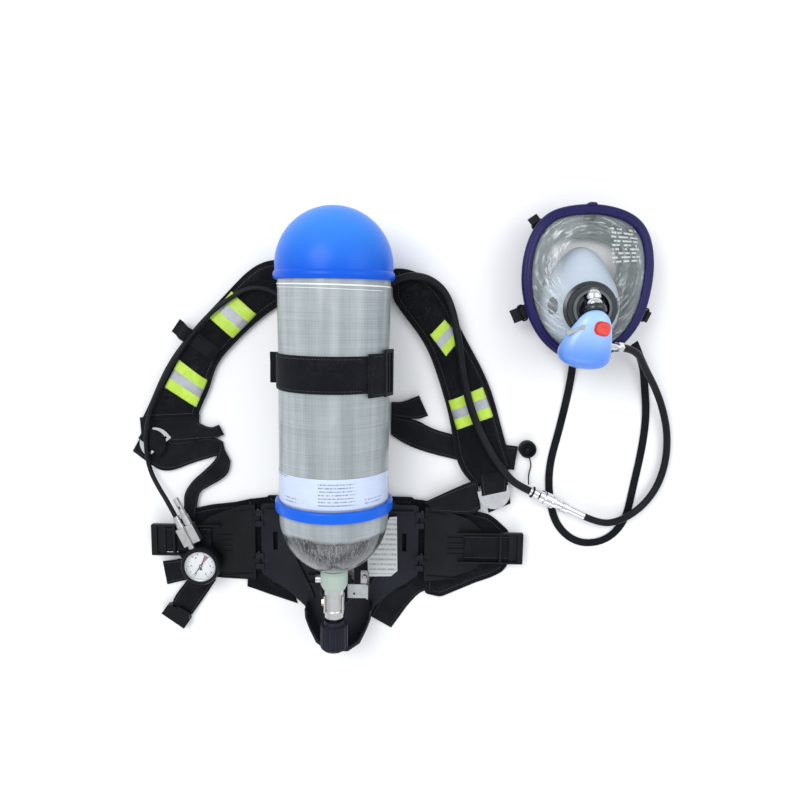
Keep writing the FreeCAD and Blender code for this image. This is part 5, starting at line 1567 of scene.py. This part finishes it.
def make_visor_frame():
    section = [(-1.5, 54), (0.4, 56), (1.4, 59), (0.8, 62.5), (-1.6, 65.2), (-5.0, 66.2),
               (-6.2, 65.4), (-7.2, 66.4), (-10.5, 67.0), (-13.2, 65.6), (-14.0, 62.5), (-13.6, 58.5),
               (-11, 56), (-6, 54.2), (-1.5, 54)]
    frame_ring = rounded(tidy_mesh(lofted("visor_frame_ring", mask_rings(section))))
    settle(frame_ring, MAT["violet_rubber"], replaces=("visor_frame",))


VISOR_RINGS = [
    # height, share of the rim, shift in, centre pull towards the port (0..1), roundness
    (57, 1.0, -11.5, 0.0, 0.0), (63, 1.0, -13.0, 0.02, 0.0), (69, 0.985, -14.5, 0.05, 0.0),
    (76, 0.94, -15, 0.12, 0.02), (82, 0.87, -15, 0.24, 0.06), (87.5, 0.77, -14.5, 0.40, 0.14),
    (92.5, 0.65, -13, 0.60, 0.32), (97, 0.54, -10, 0.80, 0.60), (99.6, 0.46, -5, 0.95, 0.90),
    (100.4, 0.42, -3, 1.0, 1.0)]


def visor_rings():
    rings = []
    for height, share, shift, pull, roundness in VISOR_RINGS:
        centre = MASK.lerp(PORT_SPOT, pull)
        rings.append(ring_at(RIM_R, centre, height, share, shift, 36.4, roundness))
    return rings


def make_visor():
    visor = rounded(tidy_mesh(lofted("visor_shell", visor_rings())))
    top = top_finder([visor])
    visor = walled(visor, 0.0022)
    settle(visor, VISOR, replaces=("visor",))

    def height(x, y, u, v):
        return top(x, y, 0.07) + 0.0005

    edges = flat_mm([(389, 318), (387, 372)]), flat_mm([(432, 322), (427, 368)])
    sheet = cloth_between("visor_marking", *edges, height, 0.0001, 10, 0.004, unit_map=True)
    settle(sheet, PRINT)


def cup_ring(height, share, roundness, radius=31.0):
    return ring_at(CUP_R, PORT_SPOT, height, share, 0.0, radius, roundness)


def make_nose_cup():
    rings = [cup_ring(22, 0.93, 0.0), cup_ring(27, 0.98, 0.0), cup_ring(38, 1.0, 0.0),
             cup_ring(50, 0.985, 0.0), cup_ring(60, 0.94, 0.01), cup_ring(69, 0.86, 0.05),
             cup_ring(76, 0.76, 0.12), cup_ring(82, 0.66, 0.28), cup_ring(86.5, 0.60, 0.55),
             cup_ring(89.5, 0.58, 0.85), cup_ring(92, 0.57, 1.0)]
    cup = rounded(tidy_mesh(lofted("nose_cup_shell", rings)))
    top = top_finder([cup])
    cup = walled(cup, 0.0018)
    settle(cup, MAT["grey_silicone"], replaces=("nose_cup",))
    for name, x, y, wide, tall in (("left", 312, 259, 5.2, 11.5), ("right", 404, 259, 3.6, 11.5)):
        oval_valve(f"cup_valve_{name}", x, y, wide, tall, top)


def oval_valve(name, x, y, wide, tall, top):
    """A dark oval flap valve laid on the cup, with its rim."""
    rings = []
    for share in (0.02, 0.4, 0.75, 1.0):
        ring = []
        for i in range(40):
            angle = 2 * math.pi * i / 40
            px = (x + wide * share * math.cos(angle)) * MM
            py = (y + tall * share * math.sin(angle)) * MM
            ring.append(Vector((px, py, top(px, py, 0.07) + 0.0006)))
        rings.append(ring)
    flap = facing_up(tidy_mesh(lofted(name, rings)))
    settle(flap, MAT["dark_plastic"])
    rim = tube_round(name + "_rim", rings[-1], 0.0010)
    settle(rim, MAT["black_rubber"])
    spoke = [Vector((x * MM - wide * MM, y * MM, 0)), Vector((x * MM + wide * MM, y * MM, 0))]
    bar = [Vector((p.x, p.y, top(p.x, p.y, 0.07) + 0.001)) for p in evenly(spoke, 0.0012, False)]
    repeated(name + "_bar", [bar], MAT["dark_plastic"], "dark_plastic",
             Spacing=0.0012, Along=0.0018, Across=0.0012, Rise=0.0010)


TABS = [
    # where the strap's outer end is, its turn in degrees, its width (mm)
    ("low_left", (-90, -50), 205, 20, 20), ("low_right", (90, -50), -25, 14, 16),
    ("high_left", (-72, 78), 125, 18, 15), ("high_right", (72, 78), 55, 12, 14),
    ("brow", (2, 100), 90, 7, 18)]


def make_tabs():
    """The short ends of the head harness, each in its clamp on the rim."""
    for number, (name, spot, turn, reach, width) in enumerate(TABS):
        angle = math.radians(turn)
        out = Vector((math.cos(angle), math.sin(angle), 0))
        side = Vector((-out.y, out.x, 0)) * width * MM / 2
        foot = MASK + Vector((spot[0], spot[1], 0)) * MM
        tip = foot + out * reach * MM * 0.75
        toward = (MASK - foot).normalized()
        root = foot + toward * 0.016
        edges = [root + side, foot + side, tip + side], [root - side, foot - side, tip - side]

        def height(x, y, u, v):
            return 0.0505 - 0.0125 * v + 0.0006 * math.sin(u * math.pi)

        strap = cloth_between(f"harness_tab_{name}", *edges, height, 0.0024, 8, 0.002)
        settle(strap, MAT["black_rubber"],
               replaces=("harness_straps",) if number == 0 else ())
        loop = []
        for i in range(40):
            t = 2 * math.pi * i / 40
            c, s = math.cos(t), math.sin(t)
            wide = side.normalized() * math.copysign(abs(c) ** 0.5, c) * (width / 2 + 1.6) * MM
            long = out * math.copysign(abs(s) ** 0.5, s) * 0.0042
            loop.append(foot + wide + long + Vector((0, 0, 0.0475)))
        clamp = tube_round(f"harness_clamp_{name}", turned_left(loop), 0.0014, 1.3)
        settle(clamp, MAT["black_plastic"])


def make_brow_lug():
    """The small lug at the top of the rim."""
    rings = []
    for height, wide, tall in ((52, 7.0, 3.4), (63, 6.6, 3.2), (65.4, 5.6, 2.4), (66, 3.5, 1.4)):
        ring = []
        for i in range(32):
            t = 2 * math.pi * i / 32
            c, s = math.cos(t), math.sin(t)
            ring.append(Vector((365 + wide * math.copysign(abs(c) ** 0.6, c),
                                403.5 + tall * math.copysign(abs(s) ** 0.6, s), height)) * MM)
        rings.append(ring)
    lug = tidy_mesh(lofted("brow_lug", rings, cap=True))
    settle(lug, MAT["violet_rubber"])


BODY_SECTIONS = [
    # station, middle, centre height, half width, half height (mm)
    (254.4, 359, 129.5, 4, 2.5), (252.5, 358.8, 129, 10, 5.5), (248.5, 358.3, 128, 16, 9),
    (243, 358, 127, 20.5, 11.5), (236, 357, 125.5, 24.5, 13.5), (227, 355, 123, 28.8, 16),
    (217, 352.2, 120.5, 32.6, 18.5), (206, 349.8, 118, 36, 20.5), (196, 348.6, 116.5, 37.5, 21),
    (187, 349.5, 115.5, 35.8, 19.8), (180, 352, 114.5, 30.8, 16.5), (175, 355, 113.8, 23, 12),
    (172.2, 357, 113.5, 13, 7), (171.3, 357.5, 113.5, 5, 2.8)]


def make_demand_valve():
    rings = []
    for y, x, z, wide, tall in BODY_SECTIONS:
        ring = []
        for i in range(48):
            t = 2 * math.pi * i / 48
            c, s = math.cos(t), math.sin(t)
            px = x + wide * math.copysign(abs(c) ** 0.86, c)
            pz = z + tall * math.copysign(abs(s) ** 0.86, s)
            ring.append(Vector((px, y, pz)) * MM)
        rings.append(ring)
    body = rounded(tidy_mesh(lofted("demand_valve_shell", rings, cap=True)))
    settle(body, MAT["pale_blue_plastic"], replaces=("demand_valve_body",))
    top = top_finder([body])
    seam = []
    for y, x, z, wide, tall in BODY_SECTIONS[3:-2]:
        seam.append(Vector((x + 0.62 * wide, y, 0)) * MM)
    seam = [Vector((p.x, p.y, top(p.x, p.y, 0.12) - 0.0001)) for p in evenly(eased(seam), 0.002, False)]
    repeated("demand_valve_seam", [seam], MAT["pale_blue_plastic"], "pale_blue_plastic",
             Spacing=0.0012, Along=0.0020, Across=0.0010, Rise=0.0007)
    foot, head = Vector((0.3585, 0.279, 0.106)), Vector((0.3600, 0.250, 0.1215))
    turned_part("valve_neck", foot, head, [(0.0, 12.4), (0.38, 12.4), (0.40, 11.4), (0.46, 11.4),
                                           (0.48, 12.7), (0.80, 12.7), (0.82, 11)], "chrome")
    turned_part("valve_neck_collar", foot, head, [(0.74, 12.0), (0.745, 15.6), (0.80, 16.2),
                                                  (0.98, 16.2), (1.0, 15.4), (1.0, 5)], "dark_plastic")
    plug_foot, plug_head = PORT_SPOT + Vector((0, 0, 0.100)), PORT_SPOT + Vector((0, 0, 0.110))
    turned_part("port_bore_floor", plug_foot, plug_head, [(0, 22.4), (0.9, 22.4), (1, 21.6), (1, 14),
                                                          (0.7, 12.5), (0.7, 1)], "dark_plastic")
    return top


def turned_part(name, foot, head, profile, finish):
    """A turned part on the line from foot to head; profile is (share along, radius mm)."""
    axis = head - foot
    side = axis.orthogonal().normalized()
    other = axis.normalized().cross(side)
    rings = []
    for share, radius in profile:
        ring = []
        for i in range(56):
            t = 2 * math.pi * i / 56
            ring.append(foot + axis * share + (side * math.cos(t) + other * math.sin(t)) * radius * MM)
        rings.append(ring)
    piece = tidy_mesh(lofted(name, rings, cap=True))
    return settle(piece, MAT[finish])


def make_button(top):
    """The red bypass button in its rim."""
    cx, cy, lean = 0.367, 0.229, math.radians(-12)
    rings, rim = [], []
    level = top(cx, cy, 0.136)
    for share, rise in ((1.0, -0.010), (1.0, 0.0036), (0.95, 0.0044), (0.86, 0.0048), (0.55, 0.0049),
                        (0.45, 0.0043), (0.02, 0.0043)):
        ring = []
        for i in range(48):
            t = 2 * math.pi * i / 48
            c, s = math.cos(t), math.sin(t)
            x = 0.0098 * share * math.copysign(abs(c) ** 0.7, c)
            y = 0.0080 * share * math.copysign(abs(s) ** 0.7, s)
            px = cx + x * math.cos(lean) - y * math.sin(lean)
            py = cy + x * math.sin(lean) + y * math.cos(lean)
            ring.append(Vector((px, py, level + rise - 0.1 * (px - cx))))
            if share == 1.0 and rise < 0:
                ex = cx + (x * math.cos(lean) - y * math.sin(lean)) * 1.1
                ey = cy + (x * math.sin(lean) + y * math.cos(lean)) * 1.1
                rim.append(Vector((ex, ey, top(ex, ey, level) + 0.0002)))
        rings.append(ring)
    button = tidy_mesh(lofted("bypass_button_cap", rings))
    settle(button, MAT["red_plastic"], "button", ("bypass_button",))
    collar = tube_round("bypass_button_rim", turned_left(rim), 0.0011)
    settle(collar, MAT["red_plastic"])


make_face_seal()
make_visor_frame()
make_visor()
make_nose_cup()
make_tabs()
make_brow_lug()
DEMAND_TOP = make_demand_valve()
make_button(DEMAND_TOP)
